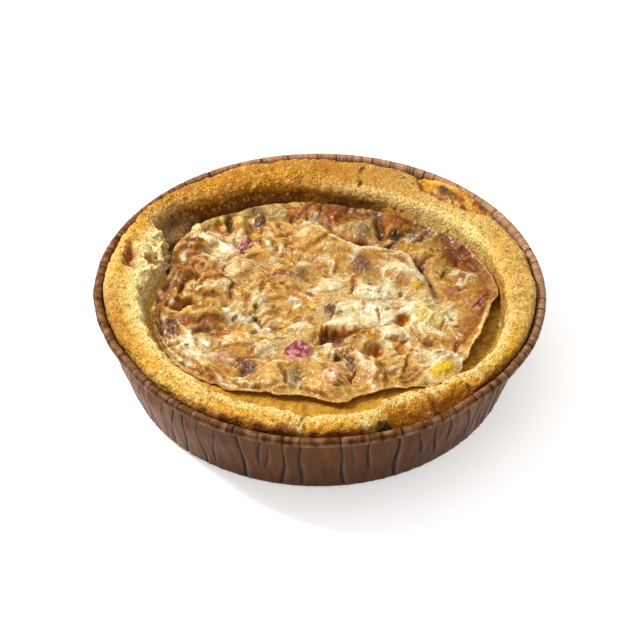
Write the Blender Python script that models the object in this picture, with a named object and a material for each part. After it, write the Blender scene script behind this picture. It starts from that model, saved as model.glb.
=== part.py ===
"""A round savoury pie in its brown paper baking case, at its real size.

The pie is a cornmeal crust with a thick rolled rim, filled with a baked custard whose browned skin
has shrunk back from the crust. Chunks of feta, mushroom and red onion stand in the custard, and a
patch of cheese has run over the rim and baked against the case. Metres, +Z up. The origin is the
middle of the case's underside. -Y is the front.
"""

import math
import random

import bmesh
import bpy
from mathutils import Vector, noise
from mathutils.bvhtree import BVHTree

MM = 0.001
GAP = 0.35 * MM  # between pieces that touch

# Paper baking case
CASE_RADIUS = 90.0 * MM  # outside of the rolled bead
CASE_HEIGHT = 36.5 * MM
CASE_FOOT_RADIUS = 76.5 * MM
CASE_FOOT_ROUNDING = 1.4 * MM
CASE_WALL_TOP_RADIUS = 86.6 * MM
CASE_THICKNESS = 0.8 * MM
BEAD_RADIUS = 1.8 * MM
BEAD_SIDES = 5  # facets round the visible part of the bead
CASE_STEPS = 132
PLEAT_GAPS = (2, 3, 4)  # steps from one crease to the next, drawn at random
PLEAT_SEED = 5
PLEAT_DEPTH = 0.6 * MM
BEAD_PLEAT = 0.35  # of the pleat's depth, where it notches the bead

# Crust
CRUST_FLOOR = 5.5 * MM  # thickness of the pastry under the filling
CRUST_FOOT_RADIUS = 74.0 * MM
CRUST_WAIST_HEIGHT = 34.0 * MM  # where the rolled rim is widest
CRUST_STEPS = 120
RIM_SIDES = 8
CRUST_CRAG = 0.45 * MM
# Degrees, then the radius of the rim's outside, of its inside at the filling, and its height, in mm
CRUST_STATIONS = (
    (0, 85.8, 73.0, 39.4),
    (25, 83.0, 71.0, 39.0),
    (45, 76.8, 65.8, 39.6),
    (56, 77.0, 65.8, 40.0),
    (68, 82.0, 66.3, 40.0),
    (92, 83.6, 67.0, 39.8),
    (125, 84.2, 69.0, 39.4),
    (150, 85.6, 70.6, 39.8),
    (163, 85.4, 68.0, 39.8),
    (182, 84.8, 71.0, 39.4),
    (215, 84.2, 70.0, 39.6),
    (245, 85.0, 70.6, 39.2),
    (264, 85.0, 71.0, 39.9),
    (270, 85.2, 70.0, 38.9),
    (292, 85.4, 70.2, 39.3),
    (306, 85.6, 71.6, 38.7),
    (320, 85.8, 74.2, 38.8),
    (340, 85.9, 73.8, 39.2),
)
# A split that runs along the top of the rim, where its inner lip has torn
SPLIT_ANGLE, SPLIT_RADIUS, SPLIT_TURN = 165.5, 77.3 * MM, -6.0
SPLIT_HALF_SIZE = (1.5 * MM, 7.5 * MM, 6.0 * MM)

# Filling
FILLING_LEVEL = 29.2 * MM
SKIN_RINGS = 22  # rings of the filling's surface as far as the skin's edge
MARGIN_RINGS = 3  # and from there to the crust
SKIN_BROKEN_EDGE = 0.5 * MM  # how wide the step down at the skin's edge is
CUSTARD_CREASE = 0.5 * MM
# Degrees, then the radius where the browned skin ends and how far the custard lies below it, in mm
SKIN_STATIONS = (
    (3, 71.0, 4.0),
    (25, 68.5, 2.0),
    (44, 64.0, 2.5),
    (60, 62.6, 3.5),
    (75, 63.0, 5.0),
    (93, 64.4, 4.0),
    (108, 63.6, 5.0),
    (125, 64.0, 8.0),
    (140, 65.5, 8.0),
    (158, 66.0, 6.0),
    (175, 66.6, 3.5),
    (195, 67.0, 3.5),
    (216, 67.0, 1.0),
    (234, 63.6, 1.2),
    (252, 57.6, 2.6),
    (266, 56.8, 3.2),
    (278, 61.0, 3.2),
    (288, 58.4, 3.0),
    (302, 57.4, 2.6),
    (315, 60.0, 2.6),
    (328, 65.0, 7.0),
    (342, 64.4, 9.0),
    (354, 67.6, 6.0),
)
# The front of the skin has ridden up over the back along this line, in mm
SKIN_LEDGE = ((-8, 52), (-2, 47), (4, 41), (10, 36), (17, 31), (33, 30), (38, 25), (40, 19), (44, 9))
LEDGE_HEIGHT = 2.2
LEDGE_REACH = 14.0  # mm in front of the line over which the ledge fades into the surface
# Swellings and hollows of the filling: x, y, half length, half width (mm), turn (degrees), height (mm)
SWELLINGS = (
    (-57, 17, 7.0, 6.0, 0, 2.4),
    (-43, 9, 9.0, 5.5, 20, 1.8),
    (-46, -9, 9.0, 5.5, -20, 2.0),
    (-50, 35, 6.5, 4.0, -15, 2.0),
    (-33, 46, 3.6, 8.0, 10, 2.2),
    (-20, 38, 5.0, 10.0, 15, 1.2),
    (-32, 22, 5.0, 8.0, 0, 1.4),
    (32, 47, 5.5, 7.0, 10, 2.8),
    (17, 46, 7.0, 6.0, 0, 1.6),
    (34, 14, 9.0, 4.5, -30, 1.6),
    (-15, -45, 6.0, 8.0, -20, 2.4),
    (20, -43, 4.5, 8.5, 15, 2.2),
    (4, -50, 7.0, 6.0, 0, 1.6),
    (-41, -37, 9.0, 6.0, -35, 1.2),
    (-21, -24, 8.0, 6.0, 0, 1.2),
    (42, -11, 8.0, 7.0, 0, 1.0),
    (49, -41, 8.0, 5.0, 30, 2.4),
    (-53, -1, 4.5, 2.6, 10, -3.0),
    (5, -22, 7.0, 4.0, 20, -3.0),
    (22, -29, 5.0, 3.2, 40, -2.4),
    (33.5, -12, 3.0, 3.4, 0, -2.4),
    (25.5, 46, 1.8, 8.0, -5, -2.6),
    (19, 35, 8.0, 2.6, -12, -1.6),
    (42, 19, 2.4, 9.0, 15, -1.4),
    (59, 23, 6.0, 8.0, 20, -1.2),
)

# Chunks that stand in the filling: x, y, half length, half width (mm), turn (degrees), height (mm)
CHUNKS = {
    "feta_1": (14.0, -14.5, 10.5, 4.6, -5, 3.6),
    "feta_2": (31.0, -19.5, 6.6, 4.4, -10, 3.0),
    "feta_3": (4.5, 9.5, 8.0, 6.2, 20, 2.2),
    "feta_4": (13.5, -3.2, 5.4, 3.4, -10, 2.0),
    "feta_5": (-44.2, 38.0, 4.4, 3.2, -45, 2.2),
    "mushroom_1": (-24.5, 51.5, 6.2, 3.4, 82, 1.8),
    "mushroom_2": (-57.5, -15.5, 6.4, 3.2, 100, 1.8),
    "mushroom_3": (-28.0, -39.0, 5.4, 4.2, 150, 1.8),
    "mushroom_4": (18.5, 21.5, 5.4, 4.2, 60, 2.8),
    "mushroom_5": (4.0, -6.2, 4.6, 2.3, 85, 1.6),
    "mushroom_6": (12.0, -37.5, 6.0, 3.0, 105, 1.6),
    "mushroom_7": (42.0, 39.5, 4.6, 2.2, 42, 1.6),
    "red_onion_1": (-8.5, -31.0, 7.0, 5.0, 100, 2.4),
    "red_onion_2": (-31.0, 34.5, 6.0, 3.8, 78, 1.8),
    "red_onion_3": (63.6, -2.5, 7.0, 1.9, 56, 1.6),
}
CHUNK_RINGS = 3
CHUNK_PROBE = 1.0 * MM  # a chunk clears the filling this far round each of its corners
SOCKET_DEPTH = 1.0  # mm that a chunk is sunk into the filling
SOCKET_SPREAD = 1.15  # a socket's size against its chunk's

# Cheese that ran over and baked between the crust and the case
SPILL_FROM, SPILL_TO = 33.0, 63.0  # degrees
SPILL_STEPS = 16
SPILL_BOTTOM, SPILL_TOP = 27.0 * MM, 35.5 * MM
SPILL_LUMP = 0.7 * MM

# Name: colour (linear), roughness
FINISHES = {
    "brown_paper": ((0.17, 0.09, 0.055), 0.6),
    "cornmeal_pastry": ((0.66, 0.38, 0.09), 0.75),
    "baked_custard": ((0.62, 0.38, 0.15), 0.5),
    "feta_cheese": ((0.80, 0.68, 0.42), 0.55),
    "cooked_mushroom": ((0.14, 0.075, 0.045), 0.45),
    "red_onion": ((0.42, 0.12, 0.16), 0.4),
    "scorched_cheese": ((0.50, 0.20, 0.03), 0.5),
}


def clear_scene():
    for obj in list(bpy.data.objects):
        bpy.data.objects.remove(obj, do_unlink=True)


def finish_of(name):
    """A plain material with the named finish, made once and shared."""
    material = bpy.data.materials.get(name)
    if material is None:
        colour, roughness = FINISHES[name]
        material = bpy.data.materials.new(name)
        material.use_nodes = True
        shader = material.node_tree.nodes["Principled BSDF"]
        shader.inputs["Base Color"].default_value = (*colour, 1.0)
        shader.inputs["Roughness"].default_value = roughness
        shader.inputs["Metallic"].default_value = 0.0
    return material


def object_from(mesh_builder, name, finish):
    """Turns a bmesh into a smooth shaded object of the scene."""
    bmesh.ops.recalc_face_normals(mesh_builder, faces=mesh_builder.faces)
    mesh = bpy.data.meshes.new(name)
    mesh_builder.to_mesh(mesh)
    mesh_builder.free()
    mesh.materials.append(finish_of(finish))
    mesh.shade_smooth()
    obj = bpy.data.objects.new(name, mesh)
    bpy.context.scene.collection.objects.link(obj)
    return obj


def spun(profile, steps):
    """A bmesh of the profile, (radius, height) pairs from axis to axis, turned once round +Z.
    Each vertex keeps the number of its place in the profile, in the layer profile_point."""
    builder = bmesh.new()
    numbers = builder.verts.layers.int.new("profile_point")
    corners = [builder.verts.new((radius, 0.0, height)) for radius, height in profile]
    for number, corner in enumerate(corners):
        corner[numbers] = number
    edges = [builder.edges.new(pair) for pair in zip(corners, corners[1:])]
    bmesh.ops.spin(
        builder,
        geom=corners + edges,
        cent=(0, 0, 0),
        axis=(0, 0, 1),
        angle=2 * math.pi,
        steps=steps,
    )
    bmesh.ops.remove_doubles(builder, verts=builder.verts, dist=1e-6)
    return builder


def eased(share):
    share = min(1.0, max(0.0, share))
    return share * share * (3 - 2 * share)


def around(stations, degrees, column):
    """The stations' value at an angle, eased from one station to the next, all the way round."""
    degrees %= 360
    for i, station in enumerate(stations):
        previous = stations[i - 1]
        start = previous[0] - (360 if i == 0 else 0)
        at = degrees - (360 if i == 0 and degrees > station[0] else 0)
        if start <= at <= station[0]:
            share = eased((at - start) / (station[0] - start))
            return previous[column] + (station[column] - previous[column]) * share
    previous, station = stations[-1], stations[0]
    share = eased((degrees - previous[0]) / (station[0] + 360 - previous[0]))
    return previous[column] + (station[column] - previous[column]) * share


def degrees_of(x, y):
    return math.degrees(math.atan2(y, x)) % 360


def case_wall_radius(height):
    """Outside radius of the case's flared wall at a height."""
    share = height / (CASE_HEIGHT - 2 * BEAD_RADIUS)
    return CASE_FOOT_RADIUS + (CASE_WALL_TOP_RADIUS - CASE_FOOT_RADIUS) * share


def arc(centre, radius, start, end, sides):
    """Points round a centre in the profile's plane, from the start to the end angle in degrees."""
    angles = [math.radians(start + (end - start) * i / sides) for i in range(sides + 1)]
    return [(centre[0] + radius * math.cos(a), centre[1] + radius * math.sin(a)) for a in angles]


def make_case():
    wall_top = CASE_HEIGHT - 2 * BEAD_RADIUS
    bead_centre = (CASE_RADIUS - BEAD_RADIUS, CASE_HEIGHT - BEAD_RADIUS)
    inner_foot = case_wall_radius(CASE_THICKNESS) - CASE_THICKNESS
    profile = [
        (0.0, 0.0),
        (CASE_FOOT_RADIUS - CASE_FOOT_ROUNDING, 0.0),
        (case_wall_radius(CASE_FOOT_ROUNDING), CASE_FOOT_ROUNDING),
        (case_wall_radius(wall_top), wall_top),
        *arc(bead_centre, BEAD_RADIUS, -96, 144, BEAD_SIDES),
        (case_wall_radius(wall_top) - CASE_THICKNESS, wall_top),
        (inner_foot, CASE_THICKNESS + 0.6 * MM),
        (inner_foot - CASE_THICKNESS, CASE_THICKNESS),
        (0.0, CASE_THICKNESS),
    ]
    builder = spun(profile, CASE_STEPS)
    pleats = pleat_steps()
    for vert in builder.verts:
        crease_case(vert, pleats)
    return object_from(builder, "baking_case", "brown_paper")


def pleat_steps():
    """The steps round the case at which its paper is creased, at uneven distances, and how deep.
    None is on the case's X or Y axis, so that its width is the same both ways."""
    draw = random.Random(PLEAT_SEED)
    steps, step = {}, 1
    while step < CASE_STEPS:
        steps[step] = draw.uniform(0.5, 1.0)
        step += draw.choice(PLEAT_GAPS)
    for quarter in range(4):
        steps.pop(quarter * CASE_STEPS // 4, None)
    return steps


def crease_case(vert, pleats):
    """Draws a vertex inwards where a pleat of the paper wall has been folded."""
    radius = math.hypot(vert.co.x, vert.co.y)
    if radius < CASE_FOOT_RADIUS - 4 * MM or vert.co.z < CASE_FOOT_ROUNDING * 0.9:
        return
    step = round(degrees_of(vert.co.x, vert.co.y) / 360 * CASE_STEPS)
    on_bead = vert.co.z > CASE_HEIGHT - 2 * BEAD_RADIUS + 0.1 * MM
    depth = PLEAT_DEPTH * pleats.get(step, 0.0) * (BEAD_PLEAT if on_bead else 1.0)
    vert.co.x -= depth * vert.co.x / radius
    vert.co.y -= depth * vert.co.y / radius


def crust_section(degrees):
    """The crust's profile at an angle: (radius, height) from the axis, round the rim, to the axis."""
    outside = around(CRUST_STATIONS, degrees, 1) * MM
    inside = around(CRUST_STATIONS, degrees, 2) * MM
    crest = around(CRUST_STATIONS, degrees, 3) * MM
    middle, half = (outside + inside) / 2, (outside - inside) / 2
    rise = crest - CRUST_WAIST_HEIGHT
    foot = CASE_THICKNESS + GAP
    rim = [
        (middle + half * math.cos(a), CRUST_WAIST_HEIGHT + rise * math.sin(a) ** 0.8)
        for a in (math.pi * i / RIM_SIDES for i in range(RIM_SIDES + 1))
    ]
    inner_foot = inside - 3.0 * MM
    profile = [
        (0.0, foot),
        (CRUST_FOOT_RADIUS - 2 * MM, foot),
        (CRUST_FOOT_RADIUS, foot + 2 * MM),
        (CRUST_FOOT_RADIUS + (outside - CRUST_FOOT_RADIUS) * 0.45, foot + 14 * MM),
        (CRUST_FOOT_RADIUS + (outside - CRUST_FOOT_RADIUS) * 0.85, foot + 26 * MM),
        *rim,
        (inside - 0.8 * MM, 26 * MM),
        (inner_foot, foot + CRUST_FLOOR + 5 * MM),
        (inner_foot - 4 * MM, foot + CRUST_FLOOR),
        (0.0, foot + CRUST_FLOOR),
    ]
    return [(min(radius, case_clearance(height)), height) for radius, height in profile]


def case_clearance(height):
    """The largest radius at a height that stays clear of the case's pleats and of its bead."""
    wall_top, bead_middle = CASE_HEIGHT - 2 * BEAD_RADIUS, CASE_HEIGHT - BEAD_RADIUS
    at_wall = case_wall_radius(min(height, wall_top)) - CASE_THICKNESS - PLEAT_DEPTH
    at_bead = CASE_RADIUS - 2 * BEAD_RADIUS - PLEAT_DEPTH * BEAD_PLEAT
    share = min(1.0, max(0.0, (height - wall_top) / (bead_middle - wall_top)))
    return at_wall + (at_bead - at_wall) * share - GAP * 1.2


def make_crust():
    builder = spun(crust_section(0), CRUST_STEPS)
    numbers = builder.verts.layers.int["profile_point"]
    for vert in builder.verts:
        direction = Vector((vert.co.x, vert.co.y, 0))
        if direction.length < 1e-6:
            continue
        direction.normalize()
        degrees = degrees_of(vert.co.x, vert.co.y)
        radius, height = crust_section(degrees)[vert[numbers]]
        place = direction * radius + Vector((0, 0, height))
        on_rim = CRUST_CRAG * eased((height - 30 * MM) / (4 * MM))
        inward = min(0.0, noise.noise(place / (9 * MM) + Vector((7, 3, 1)))) * on_rim
        upward = noise.noise(place / (6 * MM)) * on_rim
        vert.co = place + direction * inward + Vector((0, 0, upward))
    crust = object_from(builder, "crust", "cornmeal_pastry")
    cut_split(crust)
    return crust


def cut_split(crust):
    """Cuts the torn split along the rim with a stretched sphere, which is then removed."""
    builder = bmesh.new()
    bmesh.ops.create_icosphere(builder, subdivisions=2, radius=1.0)
    bmesh.ops.scale(builder, vec=SPLIT_HALF_SIZE, verts=builder.verts)
    cutter = object_from(builder, "split_cutter", "cornmeal_pastry")
    angle = math.radians(SPLIT_ANGLE)
    crest = around(CRUST_STATIONS, SPLIT_ANGLE, 3) * MM
    cutter.location = (SPLIT_RADIUS * math.cos(angle), SPLIT_RADIUS * math.sin(angle), crest)
    cutter.rotation_euler = (0, 0, angle + math.radians(SPLIT_TURN))
    cutter.hide_render = True
    cutter.display_type = "WIRE"
    cut = crust.modifiers.new("split", "BOOLEAN")
    cut.operation = "DIFFERENCE"
    cut.solver = "EXACT"
    cut.object = cutter


def bump(x, y, place):
    """1 at the middle of a turned oval place, (x, y, half length, half width, turn), easing to 0 at its edge."""
    across_x, across_y, half_length, half_width, turn = place
    turn = math.radians(turn)
    dx, dy = x - across_x, y - across_y
    along = (dx * math.cos(turn) + dy * math.sin(turn)) / half_length
    side = (-dx * math.sin(turn) + dy * math.cos(turn)) / half_width
    return eased(1.25 * (1 - math.hypot(along, side) / 1.5))


def ledge(x, y):
    """How far the skin's ledge lifts a point: full just in front of the line, fading away from it."""
    nearest, side = 1e9, 0.0
    for (ax, ay), (bx, by) in zip(SKIN_LEDGE, SKIN_LEDGE[1:]):
        ex, ey = bx - ax, by - ay
        share = min(1.0, max(0.0, ((x - ax) * ex + (y - ay) * ey) / (ex * ex + ey * ey)))
        distance = math.hypot(x - ax - ex * share, y - ay - ey * share)
        if distance < nearest:
            nearest = distance
            side = ex * (y - ay) - ey * (x - ax)
    signed = nearest if side < 0 else -nearest
    ends = eased((x - SKIN_LEDGE[0][0]) / 6 + 0.5) * eased((SKIN_LEDGE[-1][0] - x) / 6 + 0.8)
    return LEDGE_HEIGHT * eased(signed / 1.5 + 0.5) * eased(1.1 - signed / LEDGE_REACH) * ends


def filling_height(x, y):
    """Height of the filling's surface at a place in mm, in metres."""
    degrees, radius = degrees_of(x, y), math.hypot(x, y)
    height = FILLING_LEVEL / MM
    edge = around(SKIN_STATIONS, degrees, 1)
    drop = around(SKIN_STATIONS, degrees, 2)
    beyond = eased((radius - edge) * MM / SKIN_BROKEN_EDGE)
    height -= drop * beyond
    relief = ledge(x, y)
    for *place, rise in SWELLINGS:
        relief += rise * bump(x, y, place)
    height += relief * (1 - beyond)
    for cx, cy, half_length, half_width, turn, _ in CHUNKS.values():
        socket = (cx, cy, half_length * SOCKET_SPREAD, half_width * SOCKET_SPREAD, turn)
        height -= SOCKET_DEPTH * bump(x, y, socket)
    crease = noise.noise(Vector((x / 5, y / 5, 2.0))) + 0.6 * noise.noise(Vector((x / 2.6, y / 2.6, 8)))
    return height * MM + crease * CUSTARD_CREASE


def ringed_disc(builder, ring_count, place_of):
    """A disc of rings, the nth with 6n corners, each put where place_of(ring share, angle) says.
    Returns the outermost ring."""
    rings = [[builder.verts.new(place_of(0.0, 0.0))]]
    for n in range(1, ring_count + 1):
        angles = [2 * math.pi * k / (6 * n) for k in range(6 * n)]
        rings.append([builder.verts.new(place_of(n / ring_count, a)) for a in angles])
        outer, inner = rings[n], rings[n - 1]
        for sector in range(6):
            for j in range(n):
                a = outer[sector * n + j]
                b = outer[(sector * n + j + 1) % (6 * n)]
                c = inner[(sector * (n - 1) + j) % len(inner)]
                builder.faces.new((a, b, c))
                if j < n - 1:
                    d = inner[(sector * (n - 1) + j + 1) % len(inner)]
                    builder.faces.new((c, b, d))
    return rings[-1]


def hollow_radius(degrees, height):
    """Radius of the crust's inner wall at a height, less the gap to the filling."""
    section = crust_section(degrees)[-5:-1]
    for (upper_radius, upper), (lower_radius, lower) in zip(section, section[1:]):
        if lower <= height <= upper:
            share = (upper - height) / (upper - lower)
            return upper_radius + (lower_radius - upper_radius) * share - GAP * 1.5
    return section[0][0] - GAP * 1.5


def make_filling():
    builder = bmesh.new()
    ring_count = SKIN_RINGS + MARGIN_RINGS

    def surface(share, angle):
        """Rings spread evenly over the skin, then a close one below its broken edge, then the margin."""
        degrees = math.degrees(angle)
        edge = around(SKIN_STATIONS, degrees, 1) * MM
        edge_height = FILLING_LEVEL - around(SKIN_STATIONS, degrees, 2) * MM - 1.5 * MM
        wall = hollow_radius(degrees, edge_height)
        ring = round(share * ring_count)
        if ring <= SKIN_RINGS:
            radius = edge * ring / SKIN_RINGS
        else:
            margin = (ring - SKIN_RINGS - 1) / (MARGIN_RINGS - 1)
            radius = edge + SKIN_BROKEN_EDGE + (wall - edge - SKIN_BROKEN_EDGE) * margin
        x, y = radius * math.cos(angle), radius * math.sin(angle)
        return (x, y, filling_height(x / MM, y / MM))

    upper = ringed_disc(builder, ring_count, surface)
    floor = CASE_THICKNESS + CRUST_FLOOR + 2 * GAP
    levels = (floor + 6 * MM, floor)
    for level in levels:
        lower = []
        for corner in upper:
            degrees = degrees_of(corner.co.x, corner.co.y)
            angle = math.radians(degrees)
            radius = hollow_radius(degrees, level) - (0.6 * MM if level == floor else 0.3 * MM)
            lower.append(builder.verts.new((radius * math.cos(angle), radius * math.sin(angle), level)))
        for i in range(len(upper)):
            j = (i + 1) % len(upper)
            builder.faces.new((upper[i], upper[j], lower[j], lower[i]))
        upper = lower
    centre = builder.verts.new((0, 0, floor))
    for i in range(len(upper)):
        builder.faces.new((upper[i], upper[(i + 1) % len(upper)], centre))
    return object_from(builder, "filling", "baked_custard")


def surface_finder(obj):
    """A function that gives the highest point of the object's surface close round (x, y)."""
    builder = bmesh.new()
    builder.from_mesh(obj.data)
    bmesh.ops.triangulate(builder, faces=builder.faces)
    tree = BVHTree.FromBMesh(builder)
    builder.free()
    above = Vector((0, 0, CASE_HEIGHT * 2))
    turns = [math.pi * k / 3 for k in range(6)]
    offsets = [(0, 0)] + [(CHUNK_PROBE * math.cos(a), CHUNK_PROBE * math.sin(a)) for a in turns]

    def height_at(x, y):
        starts = [Vector((x + dx, y + dy, 0)) + above for dx, dy in offsets]
        hits = [tree.ray_cast(start, Vector((0, 0, -1)))[0] for start in starts]
        return max(hit.z for hit in hits if hit is not None)

    return height_at


def make_chunk(name, finish, filling_at):
    """A lump that lies on the filling's own surface, domed and a little uneven."""
    x, y, half_length, half_width, turn, height = CHUNKS[name]
    turn = math.radians(turn)
    seed = Vector((x, y, len(name)))

    def place(share, angle, lift):
        wobble = 1 + 0.16 * noise.noise(seed + Vector((math.cos(angle) * 1.5, math.sin(angle) * 1.5, 0)))
        along = share * half_length * wobble * math.cos(angle)
        side = share * half_width * wobble * math.sin(angle)
        px = (x + along * math.cos(turn) - side * math.sin(turn)) * MM
        py = (y + along * math.sin(turn) + side * math.cos(turn)) * MM
        return (px, py, filling_at(px, py) + lift)

    def upper(share, angle):
        dome = math.sqrt(max(0.0, 1 - share * share))
        lump = 1 + 0.2 * noise.noise(seed + Vector((share * math.cos(angle), share * math.sin(angle), 4)) * 2)
        return place(share, angle, GAP + (height + SOCKET_DEPTH) * dome * lump * MM)

    builder = bmesh.new()
    ringed_disc(builder, CHUNK_RINGS, upper)
    ringed_disc(builder, CHUNK_RINGS, lambda share, angle: place(share, angle, GAP))
    bmesh.ops.remove_doubles(builder, verts=builder.verts, dist=1e-6)
    return object_from(builder, name, finish)


def make_spill():
    """A crooked wedge that fills the gap between the crust's flank and the case."""
    builder = bmesh.new()
    sections = []
    for step in range(SPILL_STEPS + 1):
        share = step / SPILL_STEPS
        degrees = SPILL_FROM + (SPILL_TO - SPILL_FROM) * share
        angle = math.radians(degrees)
        fullness = math.sin(math.pi * (0.08 + 0.84 * share)) ** 0.6
        top = SPILL_BOTTOM + 3 * MM + (SPILL_TOP - SPILL_BOTTOM - 3 * MM) * fullness
        inner = {height: crust_flank(degrees, height) + GAP * 2.2 for height in (SPILL_BOTTOM, top)}
        outer = {height: case_clearance(height) - 0.1 * MM for height in (SPILL_BOTTOM, top)}
        outer[top] = max(outer[top], inner[top] + 0.8 * MM)
        low = (inner[SPILL_BOTTOM] + outer[SPILL_BOTTOM]) / 2
        corners = [(low, SPILL_BOTTOM)]
        for part in (0.0, 0.25, 0.5, 0.75, 1.0):
            radius = inner[top] + (outer[top] - inner[top]) * part
            lump = noise.noise(Vector((degrees / 5, part * 3, 1.0))) * SPILL_LUMP
            rise = (1.6 * MM if part == 1.0 else 0.0) * fullness
            corners.append((radius, top + rise * 0.5 + lump))
        section = [
            builder.verts.new((radius * math.cos(angle), radius * math.sin(angle), height))
            for radius, height in corners
        ]
        sections.append(section)
    for before, after in zip(sections, sections[1:]):
        for i in range(len(before)):
            j = (i + 1) % len(before)
            builder.faces.new((before[i], before[j], after[j], after[i]))
    builder.faces.new(sections[0])
    builder.faces.new(reversed(sections[-1]))
    return object_from(builder, "cheese_spill", "scorched_cheese")


def crust_flank(degrees, height):
    """Radius of the crust's outer flank at an angle and a height."""
    section = crust_section(degrees)
    crest = max(range(len(section)), key=lambda i: section[i][1])
    flank = section[1 : crest + 1]
    for (lower_radius, lower), (upper_radius, upper) in zip(flank, flank[1:]):
        if lower <= height <= upper:
            share = (height - lower) / (upper - lower)
            return max(lower_radius + (upper_radius - lower_radius) * share, lower_radius)
    return flank[-1][0]


def main():
    clear_scene()
    make_case()
    make_crust()
    filling = make_filling()
    filling_at = surface_finder(filling)
    finishes = {"feta": "feta_cheese", "mushroom": "cooked_mushroom", "red_onion": "red_onion"}
    for name in CHUNKS:
        make_chunk(name, finishes[name.rsplit("_", 1)[0]], filling_at)
    make_spill()


main()
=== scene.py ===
# %% [markdown]
# # A savoury pie in its paper case
# The CAD solids give the true size and place of every piece. This lesson dresses them: a gritty cornmeal
# crust, a browned and wrinkled custard skin, chunks of cheese, mushroom and onion, and a pleated paper
# case. Every mesh is worked out here from a few real sizes in millimetres, so a learner can change one and
# rerun.

import math

import bpy
import numpy as np
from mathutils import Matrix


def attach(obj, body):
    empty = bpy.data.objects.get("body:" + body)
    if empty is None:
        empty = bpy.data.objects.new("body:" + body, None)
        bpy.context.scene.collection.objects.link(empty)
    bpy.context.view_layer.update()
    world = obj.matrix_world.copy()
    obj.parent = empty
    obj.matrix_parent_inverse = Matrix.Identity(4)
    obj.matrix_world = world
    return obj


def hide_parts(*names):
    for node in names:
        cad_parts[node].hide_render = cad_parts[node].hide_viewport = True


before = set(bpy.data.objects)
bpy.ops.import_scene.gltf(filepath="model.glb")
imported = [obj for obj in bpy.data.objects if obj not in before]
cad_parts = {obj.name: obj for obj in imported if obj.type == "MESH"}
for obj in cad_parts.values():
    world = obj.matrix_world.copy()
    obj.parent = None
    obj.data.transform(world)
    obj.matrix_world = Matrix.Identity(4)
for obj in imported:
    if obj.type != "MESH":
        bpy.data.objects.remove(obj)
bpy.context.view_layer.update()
MM = 0.001

# %% [markdown]
# ## The camera
# The photograph looks down on the pie at about forty degrees through a long lens. The rim's ellipse gives
# the angle, and how much narrower the far side looks gives the distance, so neither is guessed by eye.

# %% Set the camera
CAMERA_ELEVATION = math.radians(40.65)
CAMERA_DISTANCE = 0.9
CAMERA_LENS = 121.4  # mm, on a sensor 36 mm wide
AIM = (0.0008, 0.0221, 0.0)  # the point of the table in the middle of the picture

camera_data = bpy.data.cameras.new("camera")
camera_data.lens = CAMERA_LENS
camera_data.sensor_width = 36.0
camera = bpy.data.objects.new("camera", camera_data)
bpy.context.scene.collection.objects.link(camera)
camera.location = (
    AIM[0],
    AIM[1] - CAMERA_DISTANCE * math.cos(CAMERA_ELEVATION),
    AIM[2] + CAMERA_DISTANCE * math.sin(CAMERA_ELEVATION),
)
camera.rotation_euler = (math.pi / 2 - CAMERA_ELEVATION, 0.0, 0.0)
bpy.context.scene.camera = camera
bpy.context.scene.view_settings.view_transform = "Standard"
print("the camera stands at", [round(v, 3) for v in camera.location])

# %% [markdown]
# ## The table and the light
# A white table and one soft box, as in a food studio. The box stands at the back left, so that the
# wrinkles throw short shadows towards the viewer. A bright ceiling and a dimmer surround fill those
# shadows.

# %% Helpers for lights and materials
def aimed_light(name, position, size, power):
    """A square soft box that faces the pie."""
    light_data = bpy.data.lights.new(name, "AREA")
    light_data.shape = "SQUARE"
    light_data.size = size
    light_data.energy = power
    light = bpy.data.objects.new(name, light_data)
    bpy.context.scene.collection.objects.link(light)
    light.location = position
    x, y, z = position
    light.rotation_euler = (0.0, math.atan2(math.hypot(x, y), z), math.atan2(y, x))
    return light


def shader_material(name, roughness, specular=0.5):
    """A material with a Principled shader, and that shader with its node tree."""
    material = bpy.data.materials.new(name)
    material.use_nodes = True
    tree = material.node_tree
    shader = tree.nodes["Principled BSDF"]
    shader.inputs["Roughness"].default_value = roughness
    shader.inputs["Specular IOR Level"].default_value = specular
    return material, shader, tree


# %% Build the table
TABLE_SIZE = 3.0
TABLE_WHITE = (0.93, 0.93, 0.935, 1.0)
TABLE_GLOW = 0.48  # a white table lit from behind is a little brighter than its paint

half = TABLE_SIZE / 2
corners = [(-half, -half, 0), (half, -half, 0), (half, half, 0), (-half, half, 0)]
floor_mesh = bpy.data.meshes.new("floor")
floor_mesh.from_pydata(corners, [], [(0, 1, 2, 3)])
floor = bpy.data.objects.new("floor", floor_mesh)
bpy.context.scene.collection.objects.link(floor)
floor_finish, floor_shader, _ = shader_material("white_table", 0.7, 0.2)
floor_shader.inputs["Base Color"].default_value = TABLE_WHITE
floor_shader.inputs["Emission Color"].default_value = (1.0, 1.0, 1.0, 1.0)
floor_shader.inputs["Emission Strength"].default_value = TABLE_GLOW
floor_mesh.materials.append(floor_finish)
print("the table is", TABLE_SIZE, "m wide")

# %% Build the lights
KEY_POSITION, KEY_SIZE, KEY_POWER = (-0.8, 0.36, 0.95), 0.22, 19.0
SURROUND_STRENGTH, CEILING_STRENGTH = 0.32, 1.2
CEILING_EDGE = 0.55  # how high the bright ceiling starts, where 1 is straight up
STUDIO_WHITE = (1.0, 0.99, 0.98, 1.0)

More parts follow.
